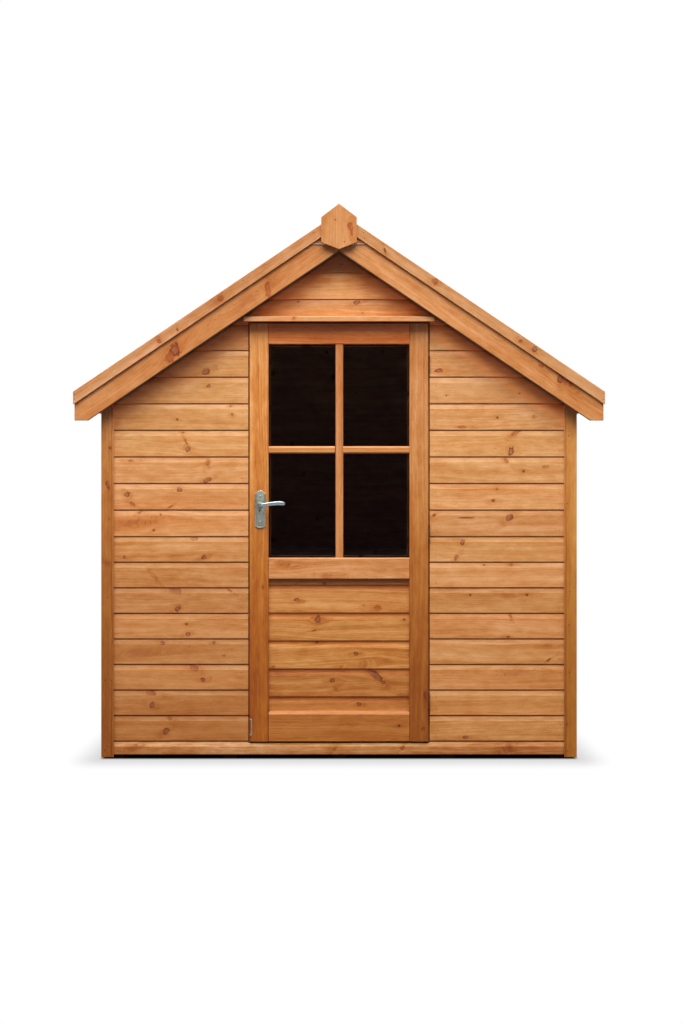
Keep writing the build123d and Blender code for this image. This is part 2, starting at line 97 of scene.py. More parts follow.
# -------- shader graphs
class Graph:
    """Short names for adding and joining shader nodes."""

    def __init__(self, tree):
        self.tree = tree

    def put(self, socket, value):
        if isinstance(value, bpy.types.NodeSocket):
            self.tree.links.new(value, socket)
        else:
            socket.default_value = value

    def add(self, kind, inputs=(), **settings):
        node = self.tree.nodes.new(kind)
        for key, value in settings.items():
            setattr(node, key, value)
        self.fill(node.inputs, dict(inputs))
        return node

    def fill(self, inputs, values):
        for key, value in values.items():
            self.put(inputs[key], value)

    def math(self, operation, *values, clamp=False):
        node = self.add("ShaderNodeMath", operation=operation, use_clamp=clamp)
        for socket, value in zip(node.inputs, values):
            self.put(socket, value)
        return node.outputs[0]

    def plus(self, *values):
        total = values[0]
        for value in values[1:]:
            total = self.math("ADD", total, value)
        return total

    def times(self, *values):
        total = values[0]
        for value in values[1:]:
            total = self.math("MULTIPLY", total, value)
        return total

    def centred(self, texture, amount):
        """A texture whose middle is a half, as a swing about nothing."""
        return self.times(self.plus(texture, -0.5), amount)

    def join(self, x, y, z):
        return self.add("ShaderNodeCombineXYZ", {0: x, 1: y, 2: z}).outputs[0]

    def split(self, vector):
        return self.add("ShaderNodeSeparateXYZ", {0: vector}).outputs[:3]

    def place(self):
        return self.add("ShaderNodeTexCoord").outputs["Object"]

    def scaled(self, vector, factors):
        return self.add("ShaderNodeVectorMath", {0: vector, 1: factors}, operation="MULTIPLY").outputs[0]

    def attribute(self, name):
        return self.add("ShaderNodeAttribute", attribute_name=name).outputs["Vector"]

    def noise(self, vector, scale=1.0, detail=2.0, roughness=0.5):
        values = {"Vector": vector, "Scale": scale, "Detail": detail, "Roughness": roughness}
        return self.add("ShaderNodeTexNoise", values).outputs["Fac"]

    def ease(self, value, low, high, start=0.0, end=1.0):
        """value taken from the range low..high to start..end, smoothly and no further."""
        values = {"Value": value, "From Min": low, "From Max": high, "To Min": start, "To Max": end}
        return self.add("ShaderNodeMapRange", values, interpolation_type="SMOOTHSTEP").outputs[0]

    def mix(self, share, first, second):
        node = self.add("ShaderNodeMix", {0: share, 6: first, 7: second}, data_type="RGBA")
        return node.outputs[2]

    def bump(self, height, distance, strength=1.0):
        values = {"Height": height, "Distance": distance, "Strength": strength}
        return self.add("ShaderNodeBump", values).outputs["Normal"]


def new_material(name):
    material = bpy.data.materials.new(name)
    material.use_nodes = True
    graph = Graph(material.node_tree)
    return material, graph, material.node_tree.nodes["Principled BSDF"].inputs


def rgba(colour):
    return (*colour, 1.0)


KNOT_SLOTS = ("knot_a", "knot_b", "knot_c", "knot_d")
NO_KNOT = (9, 9, 0.001)  # far off, and tiny
RINGED, RED, PIN, PATCH = 0, 1, 2, 3  # kinds of knot; a patch is a soft reddish stain


def knot_group():
    """From a place beside a knot: how far the grain bends, and how much of each part of the knot shows."""
    tree = bpy.data.node_groups.new("knot", "ShaderNodeTree")
    tree.interface.new_socket("Place", in_out="INPUT", socket_type="NodeSocketVector")
    for name in ("Shift", "Core", "Rim", "Halo", "Red"):
        tree.interface.new_socket(name, in_out="OUTPUT", socket_type="NodeSocketFloat")
    g = Graph(tree)
    inside, outside = g.add("NodeGroupInput"), g.add("NodeGroupOutput")
    along, across, code = g.split(inside.outputs[0])
    kind = g.math("FLOOR", code)
    size = g.math("FRACT", code)
    square = g.plus(g.times(along, along), g.times(across, across))
    ragged = g.noise(g.join(along, across, g.times(size, 90)), scale=75, detail=3, roughness=0.65)
    broken = g.noise(g.join(along, across, g.times(size, 130)), scale=48, detail=2)
    reach = g.math("DIVIDE", g.math("SQRT", square), size)
    reach = g.times(reach, g.ease(ragged, 0.28, 0.72, 0.76, 1.3))
    slim = g.plus(g.times(along, along, 0.16), g.times(across, across))
    wide = g.times(size, size, 1.5)
    shift = g.times(across, g.math("DIVIDE", wide, g.math("MAXIMUM", slim, wide)))
    is_ringed, is_red, is_pin, is_patch = (
        g.math("COMPARE", kind, code, 0.5) for code in (RINGED, RED, PIN, PATCH))
    core = g.ease(reach, 0.8, 1.12, 1, 0)
    halo = g.ease(g.math("DIVIDE", g.math("SQRT", slim), size), 0.7, 2.4, 1, 0)
    rim = g.times(g.ease(reach, 0.5, 0.85), g.ease(reach, 0.95, 1.25, 1, 0), g.ease(broken, 0.3, 0.56))
    rim = g.times(rim, g.plus(g.times(is_ringed, 0.8), g.times(is_red, 0.3)))
    rim = g.math("MAXIMUM", rim, g.times(is_pin, core, 0.6))
    soft = g.times(is_patch, g.ease(reach, 0.2, 1.4, 0.55, 0))
    red = g.plus(g.times(is_red, core, g.ease(broken, 0.25, 0.6, 0.6, 1)), soft)
    core = g.times(core, g.plus(is_ringed, g.times(is_pin, 0.7)))
    for socket, value in zip(outside.inputs, (shift, core, rim, halo, red)):
        g.put(socket, value)
    return tree


# Levels under the roof's edge are heights at the middle of the gable, and follow the roof's slope outwards.
ROOF_FALL = 0.6745  # for each metre out from the middle
# Bands of these levels for painted shade, painted light and painted shadow lines under the roof's edge and
# on the barge boards.
ROOF_SHADE = (2.06, 2.19)
ROOF_LIGHT = (2.14, 2.205)
ROOF_LIGHT_RIGHT = (2.11, 2.18)
ROOF_SHADOW_LINE = (2.218, 2.238)
BARGE_SHADOW_LINE = (2.2375, 2.2405)


def along_roof(g):
    """Which side of the middle, and the level, which stays the same all along the slope of the roof."""
    side, _, up = g.split(g.place())
    return side, g.plus(up, g.times(g.math("ABSOLUTE", side), ROOF_FALL))


def roof_edge_shade(g, colour):
    """Painted shade under the roof's edge: the boards are painted redder and darker in its shade, paler
    just below the edge, and near black right under the barge boards.
    """
    side, level = along_roof(g)
    # painted shade: redder and darker under the roof's edge
    colour = g.mix(g.ease(level, *ROOF_SHADE), colour, g.scaled(colour, (1.0, 0.8, 0.66)))
    # painted light: paler close under the edge, and more so right of the middle
    painted_light = g.plus(g.ease(level, *ROOF_LIGHT, 0, 0.45),
                   g.times(g.ease(side, 0.36, 0.44), g.ease(level, *ROOF_LIGHT_RIGHT, 0, 0.6)))
    colour = g.mix(painted_light, colour, g.scaled(colour, (2.0, 1.92, 1.8)))
    # painted shadow: a near-black line right under the barge boards
    return g.mix(g.ease(level, *ROOF_SHADOW_LINE, 0, 0.8), colour, (0.004, 0.001, 0.0005, 1))


def barge_tint_and_shadow_line(g, colour):
    """The barge boards' lower corners get a painted dark shadow line, and the right-hand boards took the
    stain paler.
    """
    side, level = along_roof(g)
    left, right = g.scaled(colour, (0.95, 0.98, 1.0)), g.scaled(colour, (1.03, 1.15, 1.26))
    colour = g.mix(g.ease(side, -0.01, 0.01), left, right)
    # painted shadow along the barge boards' lower corners
    return g.mix(g.ease(level, *BARGE_SHADOW_LINE, 0.75, 0), colour, (0.02, 0.006, 0.002, 1))


LIGHT_POWERS = (1.95, 3.8)  # green and blue change this much faster than red from pale to dark grain, and through the painted shade from the top of a board to its foot
GROUND_SHADE_POWERS = (1.55, 3.7)  # and from the top of a weathered board to its foot


def timber_material(name, gloss=0.55, ground_shade=0.0, contrast=1.0, clouds=1.0, painted_shade_and_tint=None):
    """Pine seen through a thin stain. Each board brings its own grain axes, seed, colour and knots."""
    material, g, shader = new_material(name)
    along, across, deep = g.split(g.attribute("grain"))
    seed_u, seed_v, seed_w = g.split(g.attribute("seed"))
    u, v, w = g.plus(along, seed_u), g.plus(across, seed_v), g.plus(deep, seed_w)
    figure = g.split(g.attribute("figure"))[0]

    def texture(cross, fine_u, fine_v, detail=2.5, roughness=0.6, fine_w=None):
        """Noise this fine along the board, across it and into it."""
        place = g.join(g.times(u, fine_u), g.times(cross, fine_v), g.times(w, fine_w or fine_v))
        return g.noise(place, detail=detail, roughness=roughness)

    wander = texture(v, 1.3, 5, 1.6, 0.5)
    line = g.plus(v, g.centred(wander, 0.075))
    parts = [0.0, 0.0, 0.0, 0.0]
    for slot in KNOT_SLOTS:
        knot = g.add("ShaderNodeGroup", node_tree=KNOTS)
        g.put(knot.inputs[0], g.attribute(slot))
        line = g.math("SUBTRACT", line, knot.outputs[0])
        parts = [g.math("MAXIMUM", part, this) for part, this in zip(parts, knot.outputs[1:])]
    core, rim, halo, red = parts

    bands = texture(line, 0.6, 24, roughness=0.55)
    rings = texture(line, 1.5, 120, fine_w=90)
    fibres = texture(line, 22, 420)
    patches = texture(v, 3.6, 13, 4)
    blotches = texture(v, 16, 40, 2, 0.5)
    swings = g.plus(*(g.centred(wave, amount * contrast) for wave, amount in (
        (bands, 0.42), (rings, 0.42), (fibres, 0.3), (patches, 0.48 * clouds), (blotches, 0.4 * clouds))))
    light = g.plus(1.0, g.times(figure, swings))
    pores = texture(line, 70, 900, 0, 0.5)
    light = g.plus(light, g.ease(pores, 0.66, 0.8, 0, -0.16), g.times(halo, -0.1), g.times(rim, -0.52))
    light = g.math("MAXIMUM", light, 0.05)
    # painted shade: boards are darker towards the ground, by height
    height = g.split(g.place())[2]
    ground_shading = g.ease(height, 0.1, 1.8, 1 - ground_shade, 1)

    red_base, *others = g.split(g.attribute("tint"))
    colour = g.join(g.times(red_base, light, ground_shading), *(
        g.times(base, g.math("POWER", light, power), g.math("POWER", ground_shading, shade_power))
        for base, power, shade_power in zip(others, LIGHT_POWERS, GROUND_SHADE_POWERS)))
    streak = g.noise(g.join(g.times(u, 1.2), g.times(line, 31), g.plus(w, 7)), detail=3)
    for share, factors in ((g.ease(streak, 0.52, 0.7, 0, 0.55), (1.0, 0.82, 0.64)),
                           (g.times(core, 0.84), (0.54, 0.46, 0.8)), (red, (0.74, 0.5, 0.44))):
        colour = g.mix(share, colour, g.scaled(colour, factors))
    relief = g.plus(g.times(fibres, 0.6), g.times(rings, 0.8), g.times(rim, -0.5))
    # some materials add painted shade, painted light and tint to the colour through this function
    g.fill(shader, {
        "Base Color": painted_shade_and_tint(g, colour) if painted_shade_and_tint else colour,
        "Roughness": g.plus(gloss, g.centred(fibres, 0.22), g.centred(patches, 0.14)),
        "Specular IOR Level": 0.32,
        "Normal": g.bump(relief, 0.0006, 0.6)})
    return material


def felt_material():
    material, g, shader = new_material("mineral_felt")
    place = g.place()
    grit = g.add("ShaderNodeTexVoronoi", {"Vector": place, "Scale": 420.0})
    speck = g.split(grit.outputs["Color"])[0]
    drift = g.noise(place, scale=2.2, detail=4)
    runs = g.noise(g.scaled(place, (9, 1.2, 9)), detail=3)
    tone = g.plus(g.times(speck, 0.3), g.times(drift, 0.22), g.times(runs, 0.22))
    relief = g.plus(g.times(grit.outputs["Distance"], -0.7), g.times(drift, 1.2))
    g.fill(shader, {
        "Base Color": g.mix(g.ease(tone, 0.1, 0.75), rgba(stain(34, 36, 38)), rgba(stain(98, 100, 99))),
        "Roughness": g.ease(speck, 0, 1, 0.82, 0.98),
        "Specular IOR Level": 0.25,
        "Normal": g.bump(relief, 0.0012, 0.8)})
    return material


def metal_material(name, dark, pale, gloss, scale=(60, 60, 900), wear=0.5, metallic=0.8):
    """Metal with fine drawn or brushed lines along one axis and a cloudy, slightly worn surface."""
    material, g, shader = new_material(name)
    place = g.place()
    lines = g.noise(g.scaled(place, scale), detail=2)
    cloud = g.noise(place, scale=70, detail=4)
    g.fill(shader, {
        "Base Color": g.mix(g.ease(cloud, 0.3, 0.7), rgba(dark), rgba(pale)),
        "Roughness": g.plus(gloss, g.centred(lines, 0.16), g.centred(cloud, 0.3 * wear)),
        "Metallic": metallic,
        "Normal": g.bump(g.plus(lines, g.times(cloud, wear)), 0.0002, 0.35)})
    return material


def glass_material():
    """Thin clear glass in front of a dark room, with a faint film of dust and a faint painted glow."""
    material, g, shader = new_material("window_glass")
    place = g.place()
    dust = g.noise(place, scale=14, detail=5, roughness=0.7)
    waves = g.noise(place, scale=3.5, detail=1)
    g.fill(shader, {
        "Base Color": g.mix(g.ease(dust, 0.4, 0.8), (0.42, 0.42, 0.42, 1), (0.36, 0.36, 0.36, 1)),
        "Roughness": g.ease(dust, 0.35, 0.85, 0.0, 0.05),
        "Transmission Weight": 1.0,
        "IOR": 1.08,  # low, so that the panes hardly mirror the white floor
        "Emission Color": (1.0, 0.62, 0.75, 1),
        "Emission Strength": 0.0015,  # painted glow: a faint pinkish light given off by the panes, which are no lamp
        "Normal": g.bump(waves, 0.001, 0.15)})
    return material


KNOTS = knot_group()
PINE = timber_material("stained_pine", contrast=0.9, clouds=0.9)
BOARD_PINE = timber_material("board_pine", contrast=0.9, clouds=0.9, painted_shade_and_tint=roof_edge_shade)
BARGE_PINE = timber_material("barge_pine", contrast=0.9, clouds=0.9, painted_shade_and_tint=barge_tint_and_shadow_line)
TRIM_PINE = timber_material("corner_pine", ground_shade=0.49)
DOOR_PINE = timber_material("door_pine", gloss=0.5, ground_shade=0.1, contrast=1.1, clouds=0.5)
STILE_PINE = timber_material("stile_pine", gloss=0.5, ground_shade=0.55, contrast=1.1, clouds=0.6)
SAWN = timber_material("sawn_pine", gloss=0.75, contrast=0.7)
FELT = felt_material()
ZINC = metal_material("galvanised_zinc", stain(150, 152, 146), stain(214, 214, 206), 0.38)
OLD_ZINC = metal_material("dull_zinc", stain(112, 122, 98), stain(150, 156, 130), 0.5, metallic=0.4)
SATIN = metal_material("satin_nickel", stain(150, 156, 146), stain(176, 180, 168), 0.3, (900, 60, 60), 0.25)
BRIGHT = metal_material("bright_nickel", stain(132, 146, 152), stain(157, 170, 175), 0.3, wear=0.2)
STAINED_STEEL = metal_material("stained_steel", stain(74, 46, 28), stain(112, 70, 40), 0.6)
NAIL = metal_material("nail_heads", stain(58, 38, 26), stain(96, 66, 42), 0.6)
# flat near-black discs that paint the shade in holes and round screw heads
HOLE_SHADE = metal_material("painted_hole_shade", stain(12, 11, 10), stain(30, 28, 25), 0.7)
GLASS = glass_material()


# -------- meshes
def loft(rings):
    """A closed skin drawn over rings of as many points each."""
    solid = bmesh.new()
    loops = [[solid.verts.new(point) for point in ring] for ring in rings]
    solid.faces.new(loops[0])
    solid.faces.new(loops[-1])
    count = len(loops[0])
    for low, high in zip(loops, loops[1:]):
        for i in range(count):
            j = (i + 1) % count
            solid.faces.new((low[i], low[j], high[j], high[i]))
    bmesh.ops.recalc_face_normals(solid, faces=solid.faces)
    return solid


def prism(profile, along, across, out, start, end, origin=NOWHERE):
    """A closed solid whose profile, as points (across, out), is swept from start to end along an axis."""
    return loft([[origin + along * reach + across * v + out * w for v, w in profile]
                 for reach in (start, end)])


def turned(centre, axis, outline, count=20):
    """A round solid, whose outline is (distance along its axis, radius) points in millimetres."""
    side = axis.orthogonal().normalized()
    other = axis.cross(side)
    turns = [2 * pi * i / count for i in range(count)]
    spokes = [side * cos(turn) + other * sin(turn) for turn in turns]
    return loft([[centre + (axis * reach + spoke * radius) / 1000 for spoke in spokes]
                 for reach, radius in outline])


def cut(solid, point, normal):
    """Saws off what lies beyond a plane, and closes the cut. Returns whether anything is left."""
    geometry = solid.verts[:] + solid.edges[:] + solid.faces[:]
    sawn = bmesh.ops.bisect_plane(
        solid, geom=geometry, dist=1e-6, plane_co=point, plane_no=normal, clear_outer=True)
    edges = [e for e in sawn["geom_cut"] if isinstance(e, bmesh.types.BMEdge) and len(e.link_faces) == 1]
    if edges:
        bmesh.ops.edgeloop_fill(solid, edges=edges)
    return len(solid.faces) > 3


def soften(solid, size, segments=2):
    """Eases every sharp edge, as a plane or sandpaper does."""
    edges = [e for e in solid.edges if len(e.link_faces) == 2 and e.calc_face_angle(0) > radians(20)]
    bmesh.ops.bevel(solid, geom=edges, offset=size, segments=segments, profile=0.6,
                    affect="EDGES", clamp_overlap=True)


BARE = Vector((1, 1, 1))
HOLLOW_THIN_STAIN_AND_SHEEN = Vector((0.96, 1.04, 1.2))  # the walls' hollows are paler: partly a thinner stain, partly a painted sheen where they tilt up to the light
# painted light on the base board's hollow, much paler than its stain
BASE_HOLLOW_LIGHT = Vector((1.3, 1.6, 2.1))
# painted shade in the recesses at the shiplap joints
JOINT_SHADE = Vector((0.72, 0.47, 0.24))


def placed(name, data):
    """A new object in the scene."""
    thing = bpy.data.objects.new(name, data)
    bpy.context.scene.collection.objects.link(thing)
    return thing


class Pile:
    """Boards and other solids gathered into one piece."""

    def __init__(self, name):
        self.name = name
        self.mesh = bmesh.new()
        self.dice = random.Random(name)
        new_layer = self.mesh.verts.layers.float_vector.new
        self.layers = {key: new_layer(key) for key in ("grain", "seed", "tint", "figure", *KNOT_SLOTS)}

    def take(self, solid):
        """Copies a solid in, and returns its vertices."""
        copies = {v: self.mesh.verts.new(v.co) for v in solid.verts}
        for face in solid.faces:
            self.mesh.faces.new([copies[v] for v in face.verts]).smooth = face.smooth
        solid.free()
        return list(copies.values())

    def board(self, solid, along, out, colour, knots=(), origin=None, seed=None, wild=0, figure=1.0,
              course=None):
        """Copies a board in, with its grain running along it. Knots are world places that lie on it, and
        figure is how strongly the grain shows. A course is a shiplap board's lower edge, its cover height,
        the depth of its hollow and the tint painted on the hollow."""
        across = out.cross(along)
        verts = self.take(solid)
        reach = [[v.co.dot(axis) for v in verts] for axis in (along, across, out)]
        low, high = [min(r) for r in reach], [max(r) for r in reach]
        centre = origin
        if centre is None:
            middle = [(a + b) / 2 for a, b in zip(low, high)]
            centre = along * middle[0] + across * middle[1] + out * middle[2]
        seed = seed or Vector(self.dice.uniform(0, 60) for _ in range(3))
        tint = colour * self.dice.uniform(0.95, 1.05)
        tint.y *= self.dice.uniform(0.97, 1.03)
        figure *= self.dice.uniform(0.85, 1.15)
        marks = [(place.dot(along), place.dot(across), *rest) for place, *rest in knots]
        marks = [m for m in marks if low[0] <= m[0] <= high[0] and low[1] <= m[1] <= high[1]]
        for _ in range(wild):
            size = self.dice.uniform(0.004, 0.013)
            marks.append((self.dice.uniform(low[0], high[0]), self.dice.uniform(low[1], high[1]), size,
                          self.dice.choice((RINGED, RINGED, RED, PIN)), self.dice.uniform(0.8, 1.5),
                          self.dice.uniform(-40, 40)))
        marks = sorted(marks, key=lambda m: -m[2])[:len(KNOT_SLOTS)]
        for v in verts:
            place = v.co - centre
            values = {"grain": (place.dot(along), place.dot(across), place.dot(out)), "seed": seed,
                      "tint": tint, "figure": (figure, 0, 0), **dict.fromkeys(KNOT_SLOTS, NO_KNOT)}
            for slot, (at_u, at_v, size, kind, stretch, tilt) in zip(KNOT_SLOTS, marks):
                du, dv = v.co.dot(along) - at_u, v.co.dot(across) - at_v
                c, s = cos(radians(tilt)), sin(radians(tilt))
                values[slot] = ((du * c + dv * s) / stretch, dv * c - du * s, kind + size)
            for key, value in values.items():
                v[self.layers[key]] = value
        if course:
            self.shade_joints(verts, out, tint, *course)

    def shade_joints(self, verts, out, tint, bottom, cover, depth, hollow_tint):
        """Paints shade into a shiplap board at its joints, where its lip and the top of its hollow lie in
        recesses, and tints its hollow.
        """
        face = max(v.co.dot(out) for v in verts)
        for v in verts:
            sunk = face - v.co.dot(out)
            if 0.0003 < sunk < depth + 0.0003:
                upper = v.co.z - bottom > cover / 2
                shade_share = (sunk / depth - 0.4) / 0.6 if upper else sunk / 0.0035
                painted_tint = hollow_tint if upper else BARE
                painted_tint = painted_tint.lerp(JOINT_SHADE, min(1.0, max(0.0, shade_share)))
                v[self.layers["tint"]] = Vector(a * b for a, b in zip(tint, painted_tint))

    def done(self, material, body, slot, nodes=(), smooth_below=None):
        """Makes the object, on its body and with its material."""
        bmesh.ops.recalc_face_normals(self.mesh, faces=self.mesh.faces)
        mesh = bpy.data.meshes.new(self.name)
        self.mesh.to_mesh(mesh)
        self.mesh.free()
        if smooth_below is not None:
            mesh.shade_smooth()
            mesh.set_sharp_from_angle(angle=radians(smooth_below))
        mesh.materials.append(material)
        piece = placed(self.name, mesh)
        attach(piece, body)
        if nodes:
            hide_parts(*nodes)
        return piece


def solids_of(node):
    """The separate solids of a CAD node, with their flat faces whole."""
    whole = bmesh.new()
    whole.from_mesh(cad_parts[node].data)
    bmesh.ops.remove_doubles(whole, verts=whole.verts, dist=1e-5)
    bmesh.ops.dissolve_limit(whole, angle_limit=radians(1), verts=whole.verts, edges=whole.edges)
    waiting = set(whole.verts)
    groups = []
    while waiting:
        group, edge_of = set(), [min(waiting, key=lambda v: v.index)]
        while edge_of:
            vertex = edge_of.pop()
            if vertex in waiting:
                waiting.discard(vertex)
                group.add(vertex)
                edge_of.extend(e.other_vert(vertex) for e in vertex.link_edges)
        groups.append(group)
    for group in groups:
        solid = bmesh.new()
        ordered = sorted(group, key=lambda v: v.index)
        copies = {v: solid.verts.new(v.co) for v in ordered}
        for face in whole.faces:
            if face.verts[0] in group:
                solid.faces.new([copies[v] for v in face.verts])
        bmesh.ops.recalc_face_normals(solid, faces=solid.faces)
        yield solid
    whole.free()


def board_axes(solid):
    """The way the grain runs, and the way the broadest face looks."""
    longest = max(solid.edges, key=lambda e: e.calc_length())
    along = (longest.verts[1].co - longest.verts[0].co).normalized()
    if sum(along) < 0:
        along = -along
    faces = [f for f in solid.faces if abs(f.normal.dot(along)) < 0.1]
    out = max(faces, key=lambda f: f.calc_area()).normal.copy()
    if out.y > 0.5:
        out = -out
    return along, out


def timbers(name, nodes, body, slot, material, colour, ease=0.0015, knots=(), wild=2):
    """Every board of some CAD nodes, with eased edges and its own grain."""
    pile = Pile(name)
    for node in nodes:
        for solid in solids_of(node):
            along, out = board_axes(solid)
            soften(solid, ease)
            pile.board(solid, along, out, colour, knots=knots, wild=wild)
    return pile.done(material, body, slot, nodes)


# -------- sizes
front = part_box("front_wall_left")
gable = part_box("front_gable")
FACE_X = front[0].x
FACE_Y = front[0].y
CLADDING = front[1].y - front[0].y
DOORWAY_X = gable[1].x
DOORWAY_TOP = gable[0].z
WALL_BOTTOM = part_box("left_wall")[0].z
THRESHOLD_TOP = front[0].z
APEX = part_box("back_wall")[1].z
SIDE_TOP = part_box("corner_trims_sides")[1].z  # under the roof boards at the cladding's face
SLOPE = atan2(APEX - SIDE_TOP, abs(FACE_X))
ROOF_CLEAR = 0.001
ROOF_NORMALS = [Vector((side * sin(SLOPE), 0, cos(SLOPE))) for side in (-1, 1)]
UNDER_ROOF = Z * (APEX - ROOF_CLEAR)

# Shiplap: a hollow at the top of each board is tucked behind the lip of the next one.
BASE_JOINT = 0.0745
COVERS = [0.113] * 8 + [0.1175] * 7 + [0.113] * 2 + [0.118] * 4
HOLLOW_HEIGHT = 0.0235
HOLLOW_DEPTH = 0.0065
LIP = 0.0059
LAP = 0.008
HOLLOW = ((0, 0), (0.02, 0.07), (0.72, 0.5), (0.88, 0.74), (1, 1))  # shares of its height and its depth
STEP = ((0, 0), (0.15, 0.05), (0.35, 0.3), (0.55, 0.7), (0.75, 0.95), (1, 1))


def shiplap(height, thickness=CLADDING, hollow=HOLLOW_HEIGHT, depth=HOLLOW_DEPTH, shape=HOLLOW):
    """A board's outline, as points (up, out from its face). Its cover height is the part that shows."""
    points = [(0.0, -0.0026), (0.001, -0.001), (0.0032, 0.0)]
    points += [(height - hollow + hollow * up, -depth * deep) for up, deep in shape]
    points += [(height + LAP, -depth), (height + LAP, -thickness)]
    lip = min(LIP, depth - 0.0005)
    points += [(LAP + 0.001, -thickness), (LAP + 0.001, -lip), (0.0, -lip)]
    return points


def joints():
    """(height of the lower edge, cover height) of each course, from the lowest up."""
    place = BASE_JOINT
    courses = [(WALL_BOTTOM, BASE_JOINT - WALL_BOTTOM)]
    for cover in COVERS:
        courses.append((place, cover))
        place += cover
    return courses


# -------- knots that show at the front
def mark(x, z, radius, kind, stretch=1.0, tilt=0):
    """A knot on the front: x, z and radius in millimetres, stretch along the board, and tilt in degrees."""
    size = radius / 1000 * (0.95 if kind == PIN else 1.12)
    return Vector((x / 1000, FACE_Y, z / 1000)), size, kind, stretch, tilt


WALL_MARKS = [mark(*row) for row in (
    # left of the door, from the bottom up
    (-749, 174, 8, RED, 1.1), (-763, 118, 10, RINGED, 1.4, 35), (-829, 287, 10, RED, 2.0, -15),
    (-826, 234, 13, RINGED, 0.75, -20), (-641, 396, 12, RED, 1.6, -30), (-602, 344, 8, RINGED),
    (-779, 507, 8, RINGED, 0.9), (-552, 507, 6, RINGED), (-508, 452, 4, PIN),
    (-890, 470, 18, PATCH, 2.8, 4), (-674, 591, 6, PIN, 1.4), (-667, 546, 8, RINGED, 1.1, 20),
    (-722, 738, 12, RED, 2.1, -10), (-714, 660, 9, RINGED, 1.3, 40), (-482, 739, 4, RED, 2.6, -35),
    (-813, 797, 6, PATCH, 2.4, -50), (-949, 886, 6, RINGED), (-598, 886, 7, RINGED, 1.2, 20),
    (-638, 970, 10, RED, 1.3), (-877, 1086, 6, RED, 1.8, 30), (-789, 1075, 5, PIN, 0.6, -30),
    (-819, 1006, 6, PIN, 1.2, 30), (-930, 1040, 16, PATCH, 3.4, 5), (-937, 1163, 10, RINGED, 0.9, -40),
    (-705, 1187, 9, RINGED, 1.1), (-914, 1122, 6, RED, 2.2, -35), (-744, 1110, 4, RED, 2.6, 35),
    (-919, 1312, 6, RED, 1.8), (-581, 1306, 9, RED, 1.2, 80), (-583, 1228, 9, RINGED, 1.8, 25),
    (-690, 1439, 4, PIN), (-669, 1365, 11, RINGED, 0.85, -30), (-676, 1395, 4, RED, 3.2, -65),
    (-715, 1495, 5, PIN, 1.2), (-479, 1554, 4, RED), (-472, 1517, 8, RED, 0.6), (-576, 1642, 7, RINGED),
    (-589, 1706, 11, RINGED, 1.6, 25),
    # right of the door, from the bottom up
    (560, 90, 6, RINGED, 1.9), (780, 380, 16, PATCH, 3.5), (915, 495, 7, PATCH, 3.0),
    (928, 433, 5, PIN, 2.6, 35), (757, 625, 5, RED, 1.6, -60), (748, 534, 5, PIN, 1.6),
    (580, 720, 6, PIN, 1.1), (830, 720, 7, PIN, 1.1), (743, 718, 12, PATCH, 3.0), (641, 853, 4, PIN, 1.2),
    (762, 853, 5, RED, 1.3), (545, 954, 11, RINGED, 0.8, -10), (519, 884, 7, RED, 1.6, 50),
    (753, 1062, 11, RINGED, 1.5, 40), (421, 1073, 6, PIN, 1.6, 30), (560, 1062, 4, PIN, 9.0),
    (698, 1188, 5, RED, 0.6), (681, 1137, 7, PIN, 1.4), (738, 1313, 8, RED, 1.4, -40), (815, 1267, 7, PIN),
    (913, 1285, 6, RED, 2.4), (783, 1437, 8, RED, 2.6, 35), (760, 1354, 17, RINGED, 0.55, -8),
    (700, 1504, 6, PIN, 1.1), (860, 1508, 6, RED, 0.7), (544, 1461, 5, RED, 3.4), (474, 1602, 4, PIN),
    (797, 1611, 4, PIN, 0.8), (441, 1711, 7, RINGED, 2.0),
    # over the door, and along the base
    (79, 2012, 8, RINGED, 1.5, 20), (104, 1966, 3, PIN, 0.6), (-180, 2016, 5, PIN), (12, 2182, 3, PIN),
    (743, 42, 16, PATCH, 1.5, 45), (-16, 42, 5, RED, 1.6, 50), (282, 45, 5, RED, 1.8, 50),
    (-900, 45, 12, PATCH, 2.8, 10),
)]

BARGE_MARKS = [mark(*row) for row in (
    (-721, 1799, 19, RINGED, 1.25, 62), (-744, 1768, 18, RED, 1.2, 40), (-312, 2069, 10, RED, 3.0, 58),
    (-406, 2020, 17, PATCH, 2.8), (973, 1672, 11, RINGED, 1.5, -50), (1006, 1652, 12, RED, 1.8, -10),
    (889, 1728, 7, RED, 1.4),
)]
CAPPING_MARKS = [mark(*row) for row in (
    (-521, 2027, 13, RED), (-793, 1838, 9, RED, 0.9, 60), (-710, 1889, 5, PIN, 1.2, 60),
    (422, 2101, 13, RED, 0.9, 50), (860, 1803, 11, RINGED), (797, 1837, 7, RED, 1.2),
    (201, 2237, 5, PIN, 2.2, -40), (1104, 1632, 4, PIN, 2.6),
)]
FINIAL_MARKS = [mark(*row) for row in (
    (51, 2342, 10, RED, 1.5, 8), (58, 2316, 5, RED, 2.6),
)]

TRIM_MARKS = [mark(*row) for row in (
    (-1009, 1371, 6, RINGED, 1.1), (-1020, 1207, 7, RINGED, 2.2, 12), (-1023, 860, 9, PATCH, 1.8, 70),
    (1005, 149, 6, PIN, 0.6),
)]

